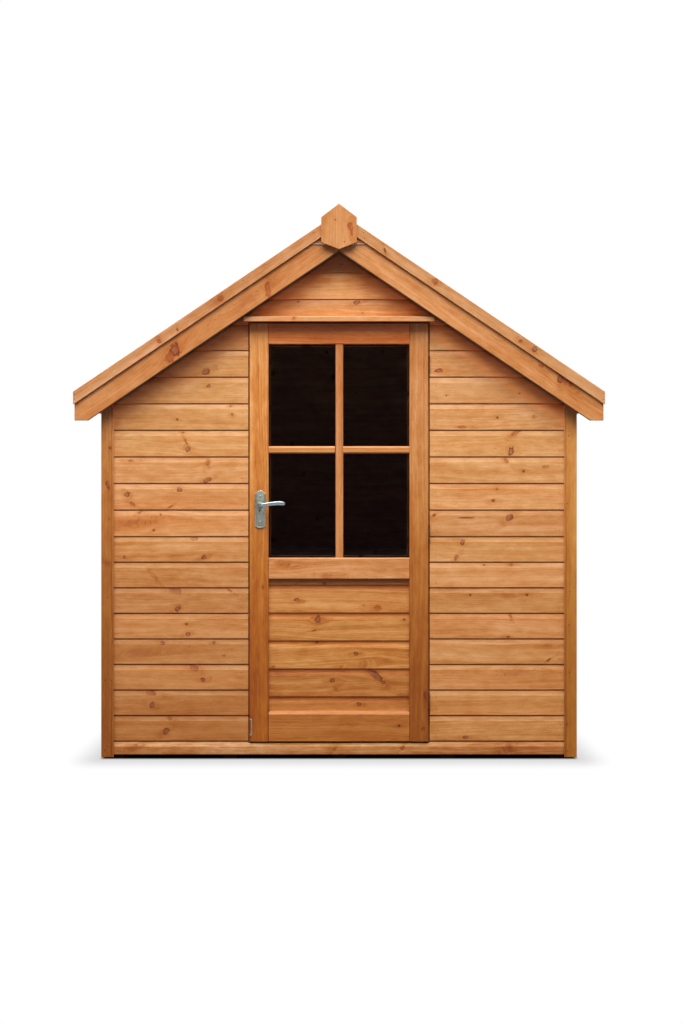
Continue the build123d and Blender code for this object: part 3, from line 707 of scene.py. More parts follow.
DOOR_MARKS = [mark(*row) for row in (
    (-270, 864, 10, PATCH, 2.0, -10), (-56, 800, 15, PATCH, 2.2), (-187, 697, 7, RINGED, 1.4, -10),
    (172, 660, 12, RED, 1.3), (109, 674, 3, PIN), (-65, 770, 6, PIN, 1.6), (-94, 612, 14, RINGED, 0.7),
    (288, 611, 6, PIN), (-111, 563, 4, PIN, 3.0, 10), (74, 459, 8, RINGED), (97, 408, 15, PATCH, 2.2, 10),
    (-289, 400, 5, RED, 1.2), (-97, 510, 6, PIN, 1.6), (-29, 343, 9, RINGED),
    (-19, 303, 10, PATCH, 1.1, 40), (164, 360, 12, RINGED, 2.6, -40), (195, 332, 6, RINGED, 1.5, -30),
    (88, 236, 8, RINGED), (265, 142, 6, PIN, 1.2), (372, 129, 8, RED, 0.8), (383, 277, 7, RED, 2.0),
    (-335, 756, 5, RED, 1.6), (-197, 1942, 5, RED, 1.0, 60),
)]


# -------- cladding
def under_roof(solid):
    """Saws a board off where it meets the roof. Returns whether anything is left."""
    return all(cut(solid, UNDER_ROOF, normal) for normal in ROOF_NORMALS)


def toned(colour, tone):
    """The same stain at a tone: under 1 it is darker and redder. The tones hold painted shade as well as
    the boards' own tone.
    """
    return Vector((colour.x * tone, colour.y * tone ** 1.5, colour.z * tone ** 2.4))


def graded(index):
    """The stain on one course of the other walls: darker towards the ground, which is painted shade, and a
    little different from course to course.
    """
    return toned(BOARD, min(1.0, 0.8 + 0.016 * index + [0.04, 0.0, 0.06, 0.02, 0.05][index % 5]))


# The tone of each course of the front, from the second board up: left, then right of the door. They hold
# each course's own tone and painted shade, darker towards the ground.
LEFT_TONES = (
    0.59, 0.65, 0.76, 0.75, 0.78, 0.79, 0.77, 0.89, 0.99, 0.94, 0.98, 1.0, 0.95, 0.98, 0.95, 0.95, 0.92)
RIGHT_TONES = (
    0.81, 0.83, 0.81, 0.85, 0.84, 0.83, 0.95, 0.91, 0.97, 0.97, 0.97, 1.0, 1.05, 1.0, 1.04, 1.0, 0.92)
# painted shade: the courses under the peak are redder and darker
PEAK_SHADE = (stain(240, 171, 107), stain(178, 118, 61), stain(170, 108, 53), stain(170, 108, 53))


def front_stain(index, left):
    """The stain on one course of the front; on the highest ones, under the peak, a redder and darker
    painted shade.
    """
    if index > len(LEFT_TONES):
        return PEAK_SHADE[index - len(LEFT_TONES) - 1]
    return toned(BOARD, (LEFT_TONES if left else RIGHT_TONES)[index - 1])


def front_cladding():
    pile = Pile("front_boards")
    face = Y * FACE_Y
    full, sides = (FACE_X, -FACE_X), [(FACE_X, -DOORWAY_X), (DOORWAY_X, -FACE_X)]
    courses = joints()
    bottom, cover = courses[0]
    for span in [(-DOORWAY_X, DOORWAY_X)] + sides:
        solid = prism(shiplap(cover), X, Z, -Y, *span, face + Z * bottom)
        if span not in sides:  # in the doorway its upper edge is planed off level with the threshold
            cut(solid, Z * THRESHOLD_TOP, Z)
        pile.board(solid, X, -Y, BASE, WALL_MARKS, face, Vector((3, 11, 5)), figure=1.9,
                   course=(bottom, cover, HOLLOW_DEPTH, BASE_HOLLOW_LIGHT))
    for index, (bottom, cover) in enumerate(courses[1:], 1):
        whole = bottom >= DOORWAY_TOP
        over_door = not whole and bottom + cover > DOORWAY_TOP + LAP
        spans = [full] if whole else sides + [full] * over_door
        origin = face + Z * bottom
        same_timber = (origin, Vector(pile.dice.uniform(0, 60) for _ in range(3)))
        for span in spans:
            solid = prism(shiplap(cover), X, Z, -Y, *span, origin)
            if not under_roof(solid):
                continue
            if over_door:
                cut(solid, Z * DOORWAY_TOP, -Z if span == full else Z)
            pile.board(solid, X, -Y, front_stain(index, span[0] < 0), WALL_MARKS,
                       *(same_timber if whole or over_door else ()),
                       course=(bottom, cover, HOLLOW_DEPTH, HOLLOW_THIN_STAIN_AND_SHEEN))
    return pile.done(BOARD_PINE, "shed", "stained_timber",
                     ["front_wall_left", "front_wall_right", "front_gable", "front_base_board"])


def plain_wall(name, along, out, reach, base, courses):
    """Lays courses of shiplap on one of the other walls, and saws them under the roof."""
    pile = Pile(f"{name}_boards")
    for index, (bottom, cover) in enumerate(courses):
        solid = prism(shiplap(cover), along, Z, out, -reach, reach, base + Z * bottom)
        if under_roof(solid):
            pile.board(solid, along, out, graded(index), wild=4,
                       course=(bottom, cover, HOLLOW_DEPTH, HOLLOW_THIN_STAIN_AND_SHEEN))
    pile.done(BOARD_PINE, "shed", "stained_timber", [f"{name}_wall"])


def other_cladding():
    courses = joints()
    plain_wall("back", -X, Y, -FACE_X, Y * -FACE_Y, courses)
    low = [course for course in courses if course[0] < SIDE_TOP - HOLLOW_HEIGHT]
    bottom = low.pop()[0]
    low.append((bottom, SIDE_TOP + 2 * HOLLOW_HEIGHT - bottom))
    for name, side in (("left", -1), ("right", 1)):
        plain_wall(name, Y * side, X * side, abs(FACE_Y) - CLADDING, X * side * -FACE_X, low)


front_cladding()
other_cladding()


# -------- the door
DOOR_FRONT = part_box("door_stile_left")[0].y
DOOR_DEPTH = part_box("door_stile_left")[1].y - DOOR_FRONT
MOULD = 0.0035  # bevel of the stiles and rails round the panes and the panel
FINE = 0.0015  # eased edge
SAW_GAP = 0.0002


def squared(low, high, depth, corners):
    """A board's outline between two edges, with bevels (along the face, into the depth) at its corners:
    front low, front high, back high, back low."""
    (a, b), (c, d), (e, f), (g, h) = corners
    return [(low, -b), (low + a, 0), (high - c, 0), (high, -d),
            (high, -depth + f), (high - e, -depth), (low + g, -depth), (low, -depth + h)]


def one_board(name, node, solid, along, colour, material, knots=(), figure=1.0,
              home=("door", "door_timber")):
    """A piece that is a single board, facing the front. Its home is its body and its slot; the slot is not
    used.
    """
    pile = Pile(name)
    pile.board(solid, along, -Y, colour, knots, figure=figure)
    pile.done(material, *home, [node])


def stile(name, node):
    low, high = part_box(node)
    inner = high.x if high.x < 0 else low.x
    bevel, plain = (MOULD, MOULD), (FINE, FINE)
    corners = (plain, bevel, plain, plain) if inner < 0 else (bevel, plain, plain, plain)
    outline = squared(low.x, high.x, DOOR_DEPTH, corners)
    solid = prism(outline, Z, X, -Y, low.z, high.z, Y * DOOR_FRONT)
    one_board(name, node, solid, Z, STILE_LEFT if inner < 0 else STILE_RIGHT, STILE_PINE, DOOR_MARKS, 1.4)


def rail(name, node, lower, upper, colour):
    """A rail whose ends are scribed over the bevels of the stiles."""
    low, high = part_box(node)
    outline = squared(low.z, high.z, DOOR_DEPTH, (lower, upper, (FINE, FINE), (FINE, FINE)))
    reach = high.x + MOULD
    solid = prism(outline, X, Z, -Y, -reach, reach, Y * DOOR_FRONT)
    for side in (-1, 1):
        cut(solid, Vector((side * (reach - SAW_GAP), DOOR_FRONT, 0)), Vector((side, 1, 0)).normalized())
        cut(solid, X * side * (high.x - SAW_GAP), X * side)
    one_board(name, node, solid, X, colour, DOOR_PINE, DOOR_MARKS, 1.2)


BAR_TRIM = 0.003  # the upright bar is planed this much narrower than its blank
BAR_PROUD = 0.0022
BAR_SCRIBE = 0.003


def bars():
    low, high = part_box("door_bar_vertical")
    depth = high.y - low.y
    bevel, plain = (0.0055, 0.0034), (0.001, 0.001)
    outline = squared(low.x + BAR_TRIM, high.x + SAW_GAP, depth, (bevel, bevel, plain, plain))
    solid = prism(outline, Z, X, -Y, low.z - BAR_SCRIBE, high.z, Y * (low.y - BAR_PROUD))
    one_board("glazing_bar_upright", "door_bar_vertical", solid, Z, AMBER, DOOR_PINE)

    flat_low, flat_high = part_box("door_bars_horizontal")
    pile = Pile("glazing_bars_level")
    outline = squared(flat_low.z, flat_high.z, depth, (bevel, bevel, plain, plain))
    for side in (-1, 1):
        ends = sorted((side * (high.x - bevel[0]), side * flat_high.x))
        solid = prism(outline, X, Z, -Y, *ends, Y * low.y)
        slant = Vector((-side * bevel[1], bevel[0], 0)).normalized()
        cut(solid, Vector((side * (high.x - bevel[0] + SAW_GAP), low.y, 0)), slant)
        cut(solid, X * side * (high.x + SAW_GAP), -X * side)
        pile.board(solid, X, -Y, GOLDEN)
    pile.done(DOOR_PINE, "door", "door_timber", ["door_bars_horizontal"])


PANEL_JOINT = 0.269
PANEL_COVER = 0.1237
# The top strip is darker as painted shade under the mid rail, and the lower boards are darker towards the
# ground.
PANEL_TONES = (0.74, 0.82, 0.88, 0.96, 0.95, 0.76)  # from the lowest board up
PANEL_STEP_HEIGHT = 0.034
PANEL_STEP_DEPTH = 0.0038


def door_panel():
    low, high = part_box("door_panel")
    pile = Pile("door_panel_boards")
    bottom = PANEL_JOINT - PANEL_COVER
    index = 0
    while bottom < high.z - 0.005:
        outline = shiplap(PANEL_COVER, high.y - low.y, PANEL_STEP_HEIGHT, PANEL_STEP_DEPTH, STEP)
        solid = prism(outline, X, Z, -Y, low.x, high.x, Vector((0, low.y, bottom)))
        cut(solid, Z * low.z, -Z)
        cut(solid, Z * high.z, Z)
        pile.board(solid, X, -Y, toned(PANEL, PANEL_TONES[index]), DOOR_MARKS, figure=1.5,
                   course=(bottom, PANEL_COVER, PANEL_STEP_DEPTH, BARE))
        bottom += PANEL_COVER
        index += 1
    pile.done(DOOR_PINE, "door", "door_timber", ["door_panel"])


stile("stile_left", "door_stile_left")
stile("stile_right", "door_stile_right")
rail("top_rail", "door_top_rail", (MOULD, MOULD), (FINE, FINE), TOP_RAIL)
rail("mid_rail", "door_mid_rail", (FINE, FINE), (0.004, 0.002), MID_RAIL)
rail("bottom_rail", "door_bottom_rail", (FINE, FINE), (0.016, 0.0075), BOTTOM_RAIL)
bars()
door_panel()
timbers("glazing_beads", ["door_glazing_beads"], "door", "door_timber", DOOR_PINE, AMBER, 0.002)


# -------- edges of the roof and corners
def run(name, nodes, colour, ease, knots, wild=0, material=PINE, slot="stained_timber"):
    return timbers(name, nodes, "shed", slot, material, colour, ease, knots, wild)


run("front_barges", ["front_barge_boards"], BARGE, 0.002, BARGE_MARKS, material=BARGE_PINE)
run("front_cappings", ["front_capping_strips"], CAPPING, 0.001, CAPPING_MARKS)
run("finial_front", ["front_finial"], FINIAL, 0.001, FINIAL_MARKS)
run("back_barges", ["back_barge_boards"], BARGE, 0.002, (), 4, BARGE_PINE)
run("back_cappings", ["back_capping_strips"], CAPPING, 0.002, (), 4)
run("finial_back", ["back_finial"], FINIAL, 0.002, (), 1)
run("side_corner_boards", ["corner_trims_sides"], TRIM, 0.0025, (), 2, TRIM_PINE)
run("eave_fascias", ["eave_boards"], RUSSET, 0.002, (), 4)
run("door_frame_stops", ["door_stops"], AMBER, 0.0015, (), 2)


def drip_board():
    """The strip over the door, whose upper face falls to the front so that rain runs off it."""
    low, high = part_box("door_drip_board")
    depth, fall, edge = high.y - low.y, 0.005, 0.0012
    outline = [(low.z, -edge), (low.z + edge, 0), (high.z - fall - edge, 0), (high.z - fall, -edge),
               (high.z, -depth), (low.z, -depth)]
    solid = prism(outline, X, Z, -Y, low.x, high.x, Y * low.y)
    one_board("drip_board", "door_drip_board", solid, X, HONEY, PINE, DOOR_MARKS,
              home=("shed", "stained_timber"))


drip_board()

# -------- frame and floor, in plain sawn timber
for piece_name, piece_nodes in (
        ("wall_studs", ["front_wall_studs", "back_wall_studs", "side_wall_studs"]),
        ("wall_rails", ["front_wall_rails", "back_wall_rails", "side_wall_rails"]),
        ("rafters", ["gable_rafters"]), ("purlins", ["roof_purlins"]),
        ("threshold", ["door_threshold"])):
    run(piece_name, piece_nodes, RAW_PINE, 0.0015, (), 2, SAWN, "plain_timber")
run("bearers", ["floor_bearers"], DARK_TIMBER, 0.0015, (), 2, SAWN, "plain_timber")


def corner_boards():
    """The gables' corner boards, each with a bead worked along its inner edge, whose paler colour is a
    painted highlight.
    """
    bead, groove = 0.007, 0.0005
    pile = Pile("gable_corner_boards")
    for solid in solids_of("corner_trims_gables"):
        inner = min((v.co.x for v in solid.verts), key=abs)
        side = copysign(1, inner)
        out = -Y if min(v.co.y for v in solid.verts) < 0 else Y
        strip = solid.copy()
        cut(strip, X * (inner + side * (bead - groove)), X * side)
        cut(solid, X * (inner + side * (bead + groove)), -X * side)
        soften(strip, 0.002)
        soften(solid, 0.0025)
        # painted highlight along the bead
        pile.board(strip, Z, out, TRIM_BEAD_HIGHLIGHT)
        pile.board(solid, Z, out, TRIM if side < 0 else TRIM_RIGHT, TRIM_MARKS)
    pile.done(TRIM_PINE, "shed", "stained_timber", ["corner_trims_gables"])


corner_boards()


def planks(name, slabs, width, colour, knots):
    """Tongued boards sawn from plain slabs. Each slab is its node, the way the boards run, the way they
    are counted, and the way that their best face looks."""
    pile = Pile(name)
    for node, along, step, out in slabs:
        for slab in solids_of(node):
            reach = [v.co.dot(step) for v in slab.verts]
            place, end = min(reach), max(reach)
            while place < end - width / 4:
                plank = slab.copy()
                cut(plank, step * (place + SAW_GAP), -step)
                cut(plank, step * (place + width - SAW_GAP), step)
                soften(plank, 0.0018)
                pile.board(plank, along, out, colour, wild=knots)
                place += width
            slab.free()
    return pile.done(SAWN, "shed", "plain_timber", [slab[0] for slab in slabs])


planks("floor_boards", [("floor_deck", X, Y, Z)], 0.1136, RAW_PINE, 3)
planks("roof_boards", [
    (f"roof_deck_{name}", Y, Vector((side * cos(SLOPE), 0, -sin(SLOPE))), -ROOF_NORMALS[side > 0])
    for name, side in (("left", -1), ("right", 1))], 0.0998, RAW_PINE, 3)


# -------- roofing felt
ROOF_END_X, ROOF_END_Y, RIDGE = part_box("roof_deck_right")[1]  # the roof boards' edges, and their highest
FELT_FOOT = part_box("roof_felt_right")[0].z
CAP_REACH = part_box("ridge_felt_cap")[1].x - 0.002
FELT_LAYER = 0.0013
ON_BOARDS, ON_FELT = 0.0001, 0.0002 + FELT_LAYER  # how far a layer of felt lies off the roof boards
FELT_EDGE = ROOF_END_X + 0.0004
COURSE_TOP = 0.365  # where the lower course of felt starts, across from the ridge
FELT_LAP = 0.062


def on_roof(x, lift):
    """A place over the roof boards, by its distance from the ridge and its lift off them."""
    return (x, RIDGE - abs(x) * tan(SLOPE) + lift / cos(SLOPE))


def lower_course(wander):
    top, face, foot = ON_BOARDS + FELT_LAYER, FELT_EDGE + FELT_LAYER, FELT_FOOT + abs(wander)
    shoulder = on_roof(ROOF_END_X, top)[1]
    return [on_roof(COURSE_TOP, ON_BOARDS), on_roof(FELT_EDGE, ON_BOARDS), (FELT_EDGE, foot), (face, foot),
            (face, shoulder - 0.0016), (face - 0.0005, shoulder - 0.0005),
            on_roof(ROOF_END_X - 0.001, top), on_roof(COURSE_TOP, top)]


def upper_course(wander):
    under = ((0.0004, ON_BOARDS), (COURSE_TOP - 0.014, ON_BOARDS), (COURSE_TOP - 0.002, ON_FELT),
             (COURSE_TOP + FELT_LAP + wander, ON_FELT))
    return sheet(under)


def ridge_cap(wander):
    edge = CAP_REACH + wander
    return sheet([(x, ON_FELT) for x in (-edge, -0.012, 0.0, 0.012, edge)])


def sheet(under):
    """A layer of felt's outline, from the (x, lift) points along its underside."""
    over = [(x, lift + FELT_LAYER) for x, lift in reversed(under)]
    return [on_roof(x, lift) for x, lift in (*under, *over)]


def felt_roof():
    sheets = Pile("felt_sheets")
    clouts = Pile("felt_clouts")
    steps, spacing = 56, 0.052
    covers = [(ridge_cap, 1, 0.4)] + [(course, side, side + lean) for side in (-1, 1)
                                      for course, lean in ((lower_course, 0.3), (upper_course, 2.2))]
    for course, side, phase in covers:
        rings = []
        for step in range(steps + 1):
            y = (2 * step / steps - 1) * ROOF_END_Y
            wander = 0.001 * (sin(4.3 * y + 3 * phase) + 0.7 * sin(13.1 * y + 5 * phase))
            rings.append([Vector((side * x, y, z)) for x, z in course(wander)])
        sheets.take(loft(rings))
    for i in range(int(2 * (ROOF_END_Y - 0.02) / spacing) + 1):
        y = -ROOF_END_Y + 0.02 + i * spacing
        for side, normal in zip((-1, 1), ROOF_NORMALS):
            for edge in (COURSE_TOP + FELT_LAP, CAP_REACH):
                x, z = on_roof(edge - 0.022 + clouts.dice.uniform(-0.003, 0.003), 2 * FELT_LAYER)
                clout(clouts, Vector((side * x, y + clouts.dice.uniform(-0.004, 0.004), z)), normal)
            if i % 3 == 0:
                place = Vector((side * (ROOF_END_X + 0.0003 + FELT_LAYER), y, FELT_FOOT + 0.014))
                clout(clouts, place, X * side)
    sheets.done(FELT, "shed", "roofing_felt", ["roof_felt_left", "roof_felt_right", "ridge_felt_cap"], 30)
    clouts.done(OLD_ZINC, "shed", "galvanised_steel", (), 40)


def clout(pile, place, out):
    """A broad flat-headed felt nail."""
    pile.take(turned(place, out, [(0, 4.6), (0.5, 4.6), (0.9, 3.6), (1, 1.2)], 10))


felt_roof()


# -------- nails
def nail(pile, x, y, z, out, radius=1.5):
    """A small head, driven almost flush. Its radius is in millimetres."""
    x += pile.dice.uniform(-0.003, 0.003) * (abs(out.y) > 0.5)
    place = Vector((x, y, z + pile.dice.uniform(-0.003, 0.003)))
    pile.take(turned(place - out * 0.001, out, [(0, radius), (1.1, radius), (1.4, radius * 0.6)], 9))


BOARD_NAILS = (0.025, 0.078)  # heights over a board's lower edge
BESIDE_DOOR, OVER_DOOR = (-0.975, -0.428, 0.428, 0.975), (-0.428, -0.18, 0.18, 0.428)
BACK_STUDS, SIDE_STUDS = (-0.975, -0.504, 0.0, 0.504, 0.975), (-0.963, -0.482, 0.0, 0.482, 0.963)
CORNER_NAILS = (
    (1.015, 1.424), (1.007, 1.121), (1.022, 0.737), (1.013, 0.586), (1.019, 0.379), (1.012, 0.034),
    (-1.032, 0.347), (-1.006, 0.3425), (-1.019, 0.052), (-1.036, 0.035), (-1.021, 1.5), (-1.017, 1.06),
    (-1.024, 0.71))
FINIAL_NAILS = ((-0.016, 2.371), (0.021, 2.272))


def nails():
    front_pile, back_pile, side_pile = piles = [Pile(f"{name}_nails") for name in ("front", "back", "side")]
    for z in (bottom + rise for bottom, _ in joints()[1:] for rise in BOARD_NAILS):
        roof = (UNDER_ROOF.z - z) / tan(SLOPE) - 0.06
        for xs, pile, y, out in ((BESIDE_DOOR if z < DOORWAY_TOP else OVER_DOOR, front_pile, FACE_Y, -Y),
                                 (BACK_STUDS, back_pile, -FACE_Y, Y)):
            for x in xs:
                if abs(x) < roof:
                    nail(pile, x, y, z, out)
        if z < SIDE_TOP - 0.03:
            for side in (-1, 1):
                for y in SIDE_STUDS:
                    nail(side_pile, side * -FACE_X, y, z, X * side)
    trim_y, finial_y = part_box("corner_trims_gables")[0].y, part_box("front_finial")[0].y
    capping_y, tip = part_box("front_capping_strips")[0].y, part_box("front_capping_strips")[1]
    for sign, pile in ((1, front_pile), (-1, back_pile)):
        for places, y, radius in ((CORNER_NAILS, trim_y, 2.7), (FINIAL_NAILS, finial_y, 3)):
            for x, z in places:
                nail(pile, sign * x, sign * y, z, -Y * sign, radius)
        for reach in (0.007, 0.38, 0.75, 1.06):
            for across in (0.013, 0.034):
                x = tip.x - reach
                z = tip.z - x * tan(SLOPE) - across / cos(SLOPE)
                for side in (-1, 1):
                    nail(pile, side * x, sign * capping_y, z, -Y * sign, 1.8)
    for pile in piles:
        pile.done(NAIL, "shed", "galvanised_steel", (), 40)


nails()


# -------- the handle, its plates and the clip
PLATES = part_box("handle_plates")
PLATE_X = (PLATES[0].x + PLATES[1].x) / 2
PLATE_Z = (PLATES[0].z + PLATES[1].z) / 2
SPINDLE_Z = PLATE_Z + 0.016
DOOR_BACK = DOOR_FRONT + DOOR_DEPTH
FIELD = 0.0046  # how far the plate's sunk field stands off the door


def plate_outline(width, height, crown, foot):
    """Points (x, z) round the middle of a plate with a low ogee crown and a rounded foot."""
    half, steps, points = width / 2, 10, []
    for step in range(steps, -steps - 1, -1):
        share = abs(step) / steps
        fall = share ** 2 * (0.45 + 0.55 * (3 - 2 * share))
        points.append((half * step / steps, height / 2 - crown * fall))
    for step in range(-steps, steps + 1):
        points.append((half * step / steps, foot * abs(step / steps) ** 2.4 - height / 2))
    return [Vector(point) for point in points]


def inset(points, distance):
    """The same outline, moved inwards."""
    moved = []
    for before, here, after in zip(points[-1:] + points[:-1], points, points[1:] + points[:1]):
        ways = [(here - before).normalized(), (after - here).normalized()]
        normals = [Vector((-way.y, way.x)) for way in ways]
        middle = (normals[0] + normals[1]).normalized()
        moved.append(here + middle * distance / max(0.5, middle.dot(normals[0])))
    return moved


def handle_plate(face_y, out, metal, hole_shade):
    """A pressed plate with a raised rim round a sunk field, two screws, and a keyhole in its ring. Flat
    dark discs paint the shade in the keyhole, in the screws' slots and round the screw heads.
    """
    outline = plate_outline(PLATES[1].x - PLATES[0].x, PLATES[1].z - PLATES[0].z, 0.015, 0.011)
    middle = Vector((PLATE_X, face_y, PLATE_Z))
    steps = [(0, 0), (0, 0.0028), (0.0009, 0.0044), (0.0026, 0.0053), (0.0048, 0.0056), (0.0066, 0.0053),
             (0.0078, FIELD + 0.0002), (0.0088, FIELD)]
    rings = []
    for distance, lift in steps:
        rings.append([middle + X * p.x + Z * p.y + out * lift for p in inset(outline, distance)])
    metal.take(loft(rings))
    for z in (0.0555, -0.057):
        head = middle + Z * z + out * FIELD
        metal.take(turned(head, out, [(0, 5.2), (0.8, 5.2), (1.7, 4.3), (2.1, 2.4), (1.3, 2), (0.9, 0.8)]))
        # painted shade: a dark disc for each screw's slot, and a dark ring round its head
        hole_shade.take(turned(head + out * 0.001, out, [(0, 1.7), (0.4, 1.5)], 8))
        hole_shade.take(turned(head, out, [(0, 6.1), (0.3, 6)]))
    ring = Vector((PLATE_X - 0.003, face_y, SPINDLE_Z - 0.0225)) + out * FIELD
    metal.take(turned(ring, out, [(0, 8.8), (1.2, 8.8), (2.1, 8), (2.2, 6.6), (1.2, 5.8), (0.8, 5.4)]))
    eye = ring + out * 0.0008
    # painted shade: a dark disc and slot for the keyhole
    hole_shade.take(turned(eye + Z * 0.0014, out, [(0, 2.6), (0.3, 2.5)], 16))
    slot = [(-0.0013, 0.0006), (0.0013, 0.0006), (0.0018, -0.005), (-0.0018, -0.005)]
    hole_shade.take(prism(slot, out, X, Z, 0.0, 0.00025, eye))
    collar = Vector((PLATE_X, face_y, SPINDLE_Z)) + out * FIELD
    metal.take(turned(collar, out, [(0, 15), (1.8, 15), (3, 14.1), (3.4, 12.6)], 28))


# The lever's middle line, in millimetres: x and z from the spindle, reach from the door, and the half
# height and half thickness there
LEVER_LINE = (
    (0, 0, 8.4, 13, 13), (0, 0, 15, 12.8, 12.6), (0, 0, 19, 10.4, 9.8), (0, 0.2, 27, 8.4, 8),
    (1.8, 0.8, 35, 8.2, 7.6), (7, 2, 39.8, 8.3, 6.8), (15, 3.4, 41.8, 8.3, 6), (27, 5, 42.2, 8.4, 5.6),
    (50, 7.8, 42.2, 8.9, 5.4), (76, 10.4, 42, 9.3, 5.4), (93, 9.8, 41.4, 9.1, 5.2),
    (102, 8.4, 40.8, 8.4, 4.8), (107, 7.4, 40.4, 6.6, 4), (109.2, 6.9, 40.2, 4, 2.6),
    (109.8, 6.8, 40.1, 1.5, 1),
)


def ways(centres):
    """The way that a line of points runs at each of them."""
    last = len(centres) - 1
    return [(centres[min(i + 1, last)] - centres[max(i - 1, 0)]).normalized() for i in range(last + 1)]


def smooth_rows(rows, steps):
    """Rows of millimetres, in metres, with others drawn smoothly between them."""
    rows = [Vector(row) / 1000 for row in rows]
    result = []
    for before, start, end, after in zip(rows[:1] + rows, rows, rows[1:], rows[2:] + rows[-1:]):
        for step in range(steps):
            t = step / steps
            result.append(0.5 * (
                2 * start + (end - before) * t + (2 * before - 5 * start + 4 * end - after) * t ** 2
                + (3 * start - before - 3 * end + after) * t ** 3))
    return result + [rows[-1]]


def swept(middle, rows, out, squareness=2.5, count=20):
    """A rounded bar along rows of (x, z, reach, half height, half thickness) from a middle."""
    centres = [middle + X * x + Z * z + out * reach for x, z, reach, _, _ in rows]
    rings = []
    for centre, way, (_, _, _, tall, thick) in zip(centres, ways(centres), rows):
        up = (Z - way * Z.dot(way)).normalized()
        side = way.cross(up)
        ring = []
        for k in range(count):
            c, s = cos(2 * pi * k / count), sin(2 * pi * k / count)
            rounded = [copysign(abs(value) ** (2 / squareness), value) for value in (c, s)]
            ring.append(centre + side * thick * rounded[0] + up * tall * rounded[1])
        rings.append(ring)
    return loft(rings)


def handles():
    metal, hole_shade = Pile("handle_back_plates"), Pile("key_and_screw_recesses")
    handle_plate(DOOR_FRONT, -Y, metal, hole_shade)
    handle_plate(DOOR_BACK, Y, metal, hole_shade)
    metal.done(SATIN, "door", "satin_metal", ["handle_plates"], 35)
    hole_shade.done(HOLE_SHADE, "door", "satin_metal", (), 35)
    rows = smooth_rows(LEVER_LINE, 4)
    for name, face_y, out in (("outside", DOOR_FRONT, -Y), ("inside", DOOR_BACK, Y)):
        pile = Pile(f"lever_{name}_bar")
        pile.take(swept(Vector((PLATE_X, face_y, SPINDLE_Z)), rows, out))
        pile.done(BRIGHT, "lever", "satin_metal", [f"lever_{name}"], 50)


def clip():
    """A bent steel clip near the foot of the door's free edge."""
    low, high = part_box("door_edge_clip")
    wide, thick = 0.0028, 0.0012  # halves of the strip's section
    foot, top = low.z + wide, high.z - wide
    tall = (top - foot) * 1000
    rows = [(2.2, tall - 1.5), (4, tall), (6.5, tall), (8.2, tall - 2), (8.7, tall - 6), (8.7, 40),
            (8.5, 12), (7.6, 4), (5.5, 0.6), (3.6, 1.2), (2.8, 5), (2.7, 8.5)]
    centres = smooth_rows(rows, 3)
    rings = []
    for here, way in zip(centres, ways(centres)):
        across = Vector((-way.y, way.x))
        ring = []
        for k in range(10):
            c, s = cos(pi * k / 5), sin(pi * k / 5)
            flat = here + across * wide * c
            ring.append(Vector((low.x + flat.x, DOOR_FRONT - 0.001 + thick * s, foot + flat.y)))
        rings.append(ring)
    pile = Pile("edge_clip")
    pile.take(loft(rings))
    pile.done(OLD_ZINC, "door", "galvanised_steel", ["door_edge_clip"], 50)


handles()
clip()


# -------- looks of the CAD nodes that stay
def dress(material, nodes, ease=0.0):
    for node in nodes:
        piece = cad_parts[node]
        piece.data.materials.clear()
        piece.data.materials.append(material)
        if ease:
            bevel = piece.modifiers.new("ease", "BEVEL")
            bevel.width = ease
            bevel.segments = 2
            bevel.limit_method = "ANGLE"


dress(GLASS, ["door_glass"])
dress(ZINC, ["front_apex_tie"])
dress(SATIN, ["lock_faceplate"], 0.0004)
dress(STAINED_STEEL, ["door_hinge_leaves", "frame_hinge_leaves"])


# -------- camera, light and floor
def camera():
    """Looks straight at the front from far off, level with the middle of the door."""
    distance = 15.0
    height = 1.087
    span = 4.526  # what the long side of the picture covers at the front wall
    data = bpy.data.cameras.new("camera")
    data.sensor_width = 36
    data.lens = 36 * distance / span
    data.clip_end = 200
    eye = placed("camera", data)
    eye.location = (0.011, FACE_Y - distance, height)
    eye.rotation_euler = (radians(90), 0, 0)
    bpy.context.scene.camera = eye


def area_light(name, place, target, width, height, power):
    data = bpy.data.lights.new(name, "AREA")
    data.shape = "RECTANGLE"
    data.size = width
    data.size_y = height
    data.energy = power
    lamp = placed(name, data)
    lamp.location = place
    lamp.rotation_euler = (Vector(target) - Vector(place)).to_track_quat("-Z", "Y").to_euler()
    lamp.visible_camera = False


SKY, LOW_GLOW = 6.3, 0.09  # how bright the studio is straight overhead, and level with the eye
KEY_POWER = 1120
SIDE_SHADE = 18.0  # makes the floor's shade about a quarter as wide at the sides as in front


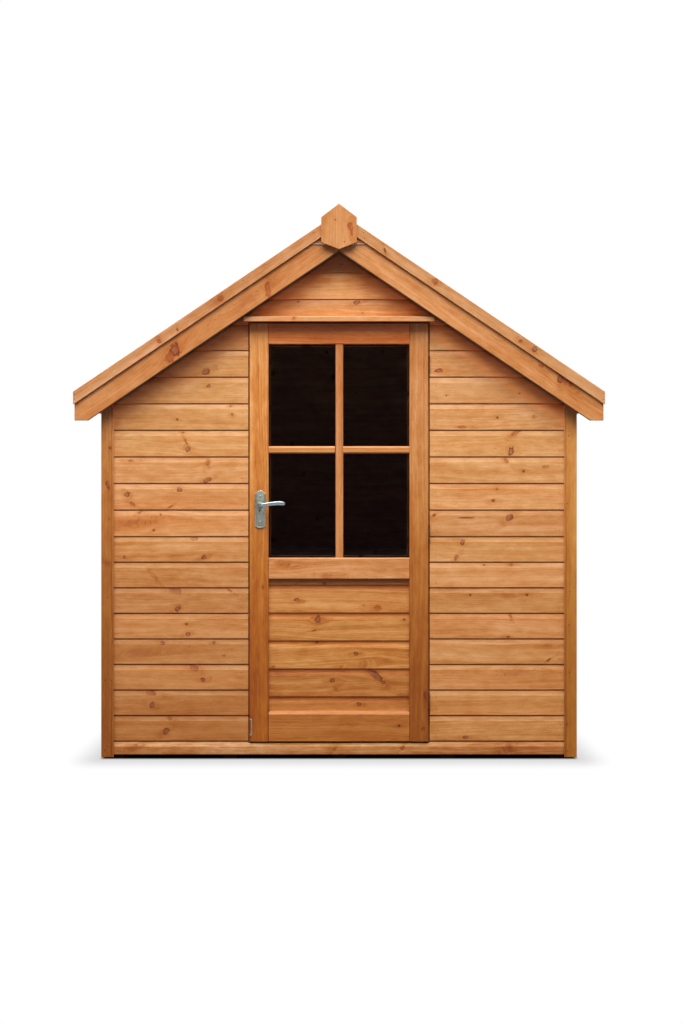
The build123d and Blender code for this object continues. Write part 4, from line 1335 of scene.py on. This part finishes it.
def studio():
    """A soft white studio: light comes from high up, and what is low is dim and warm. The floor glows
    white, with a painted shadow close round the shed.
    """
    world = bpy.data.worlds.new("studio")
    world.use_nodes = True
    bpy.context.scene.world = world
    g = Graph(world.node_tree)
    height = g.split(g.add("ShaderNodeTexCoord").outputs["Generated"])[2]
    high = g.math("POWER", g.math("MAXIMUM", height, 0.0), 3.4)
    glow = g.plus(LOW_GLOW, g.times(high, SKY))
    tone = g.mix(g.ease(height, 0.0, 0.85), (1.0, 0.68, 0.44, 1), (0.96, 0.995, 1.02, 1))
    seen = g.add("ShaderNodeLightPath").outputs["Is Camera Ray"]
    background = world.node_tree.nodes["Background"].inputs
    g.put(background["Color"], g.mix(seen, tone, (1, 1, 1, 1)))
    g.put(background["Strength"], g.plus(g.times(glow, g.math("SUBTRACT", 1.0, seen)), seen))
    bpy.context.scene.view_settings.view_transform = "Standard"
    area_light("key", (-0.4, -6.6, 10.4), (0, -1, 1.2), 9.0, 5.0, KEY_POWER)

    mesh = bpy.data.meshes.new("floor")
    reach = 90
    mesh.from_pydata([(-reach, -reach, 0), (reach, -reach, 0), (reach, reach, 0), (-reach, reach, 0)], [],
                     [(0, 1, 2, 3)])
    floor = placed("floor", mesh)
    material, g, shader = new_material("studio_floor")
    place = g.split(g.place())
    past = [g.math("MAXIMUM", g.plus(g.math("ABSOLUTE", p), -abs(FACE_X)), 0.0) for p in place[:2]]
    distance = g.math("SQRT", g.plus(g.times(past[0], past[0], SIDE_SHADE), g.times(past[1], past[1])))
    # painted shadow: the floor's glow is dimmed close to the shed
    white = g.plus(g.ease(distance, 0.0, 0.12, 0.0, 0.7), g.ease(distance, 0.0, 0.75, 0.0, 0.3))
    g.fill(shader, {"Base Color": (0, 0, 0, 1), "Roughness": 0.9, "Specular IOR Level": 0.0,
                    "Emission Color": (1, 1, 1, 1), "Emission Strength": white})
    mesh.materials.append(material)
    floor.visible_diffuse = False
    floor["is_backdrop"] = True


camera()
studio()

shown_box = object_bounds()
[[list(corner) for corner in box] for box in (cad_box, shown_box)]
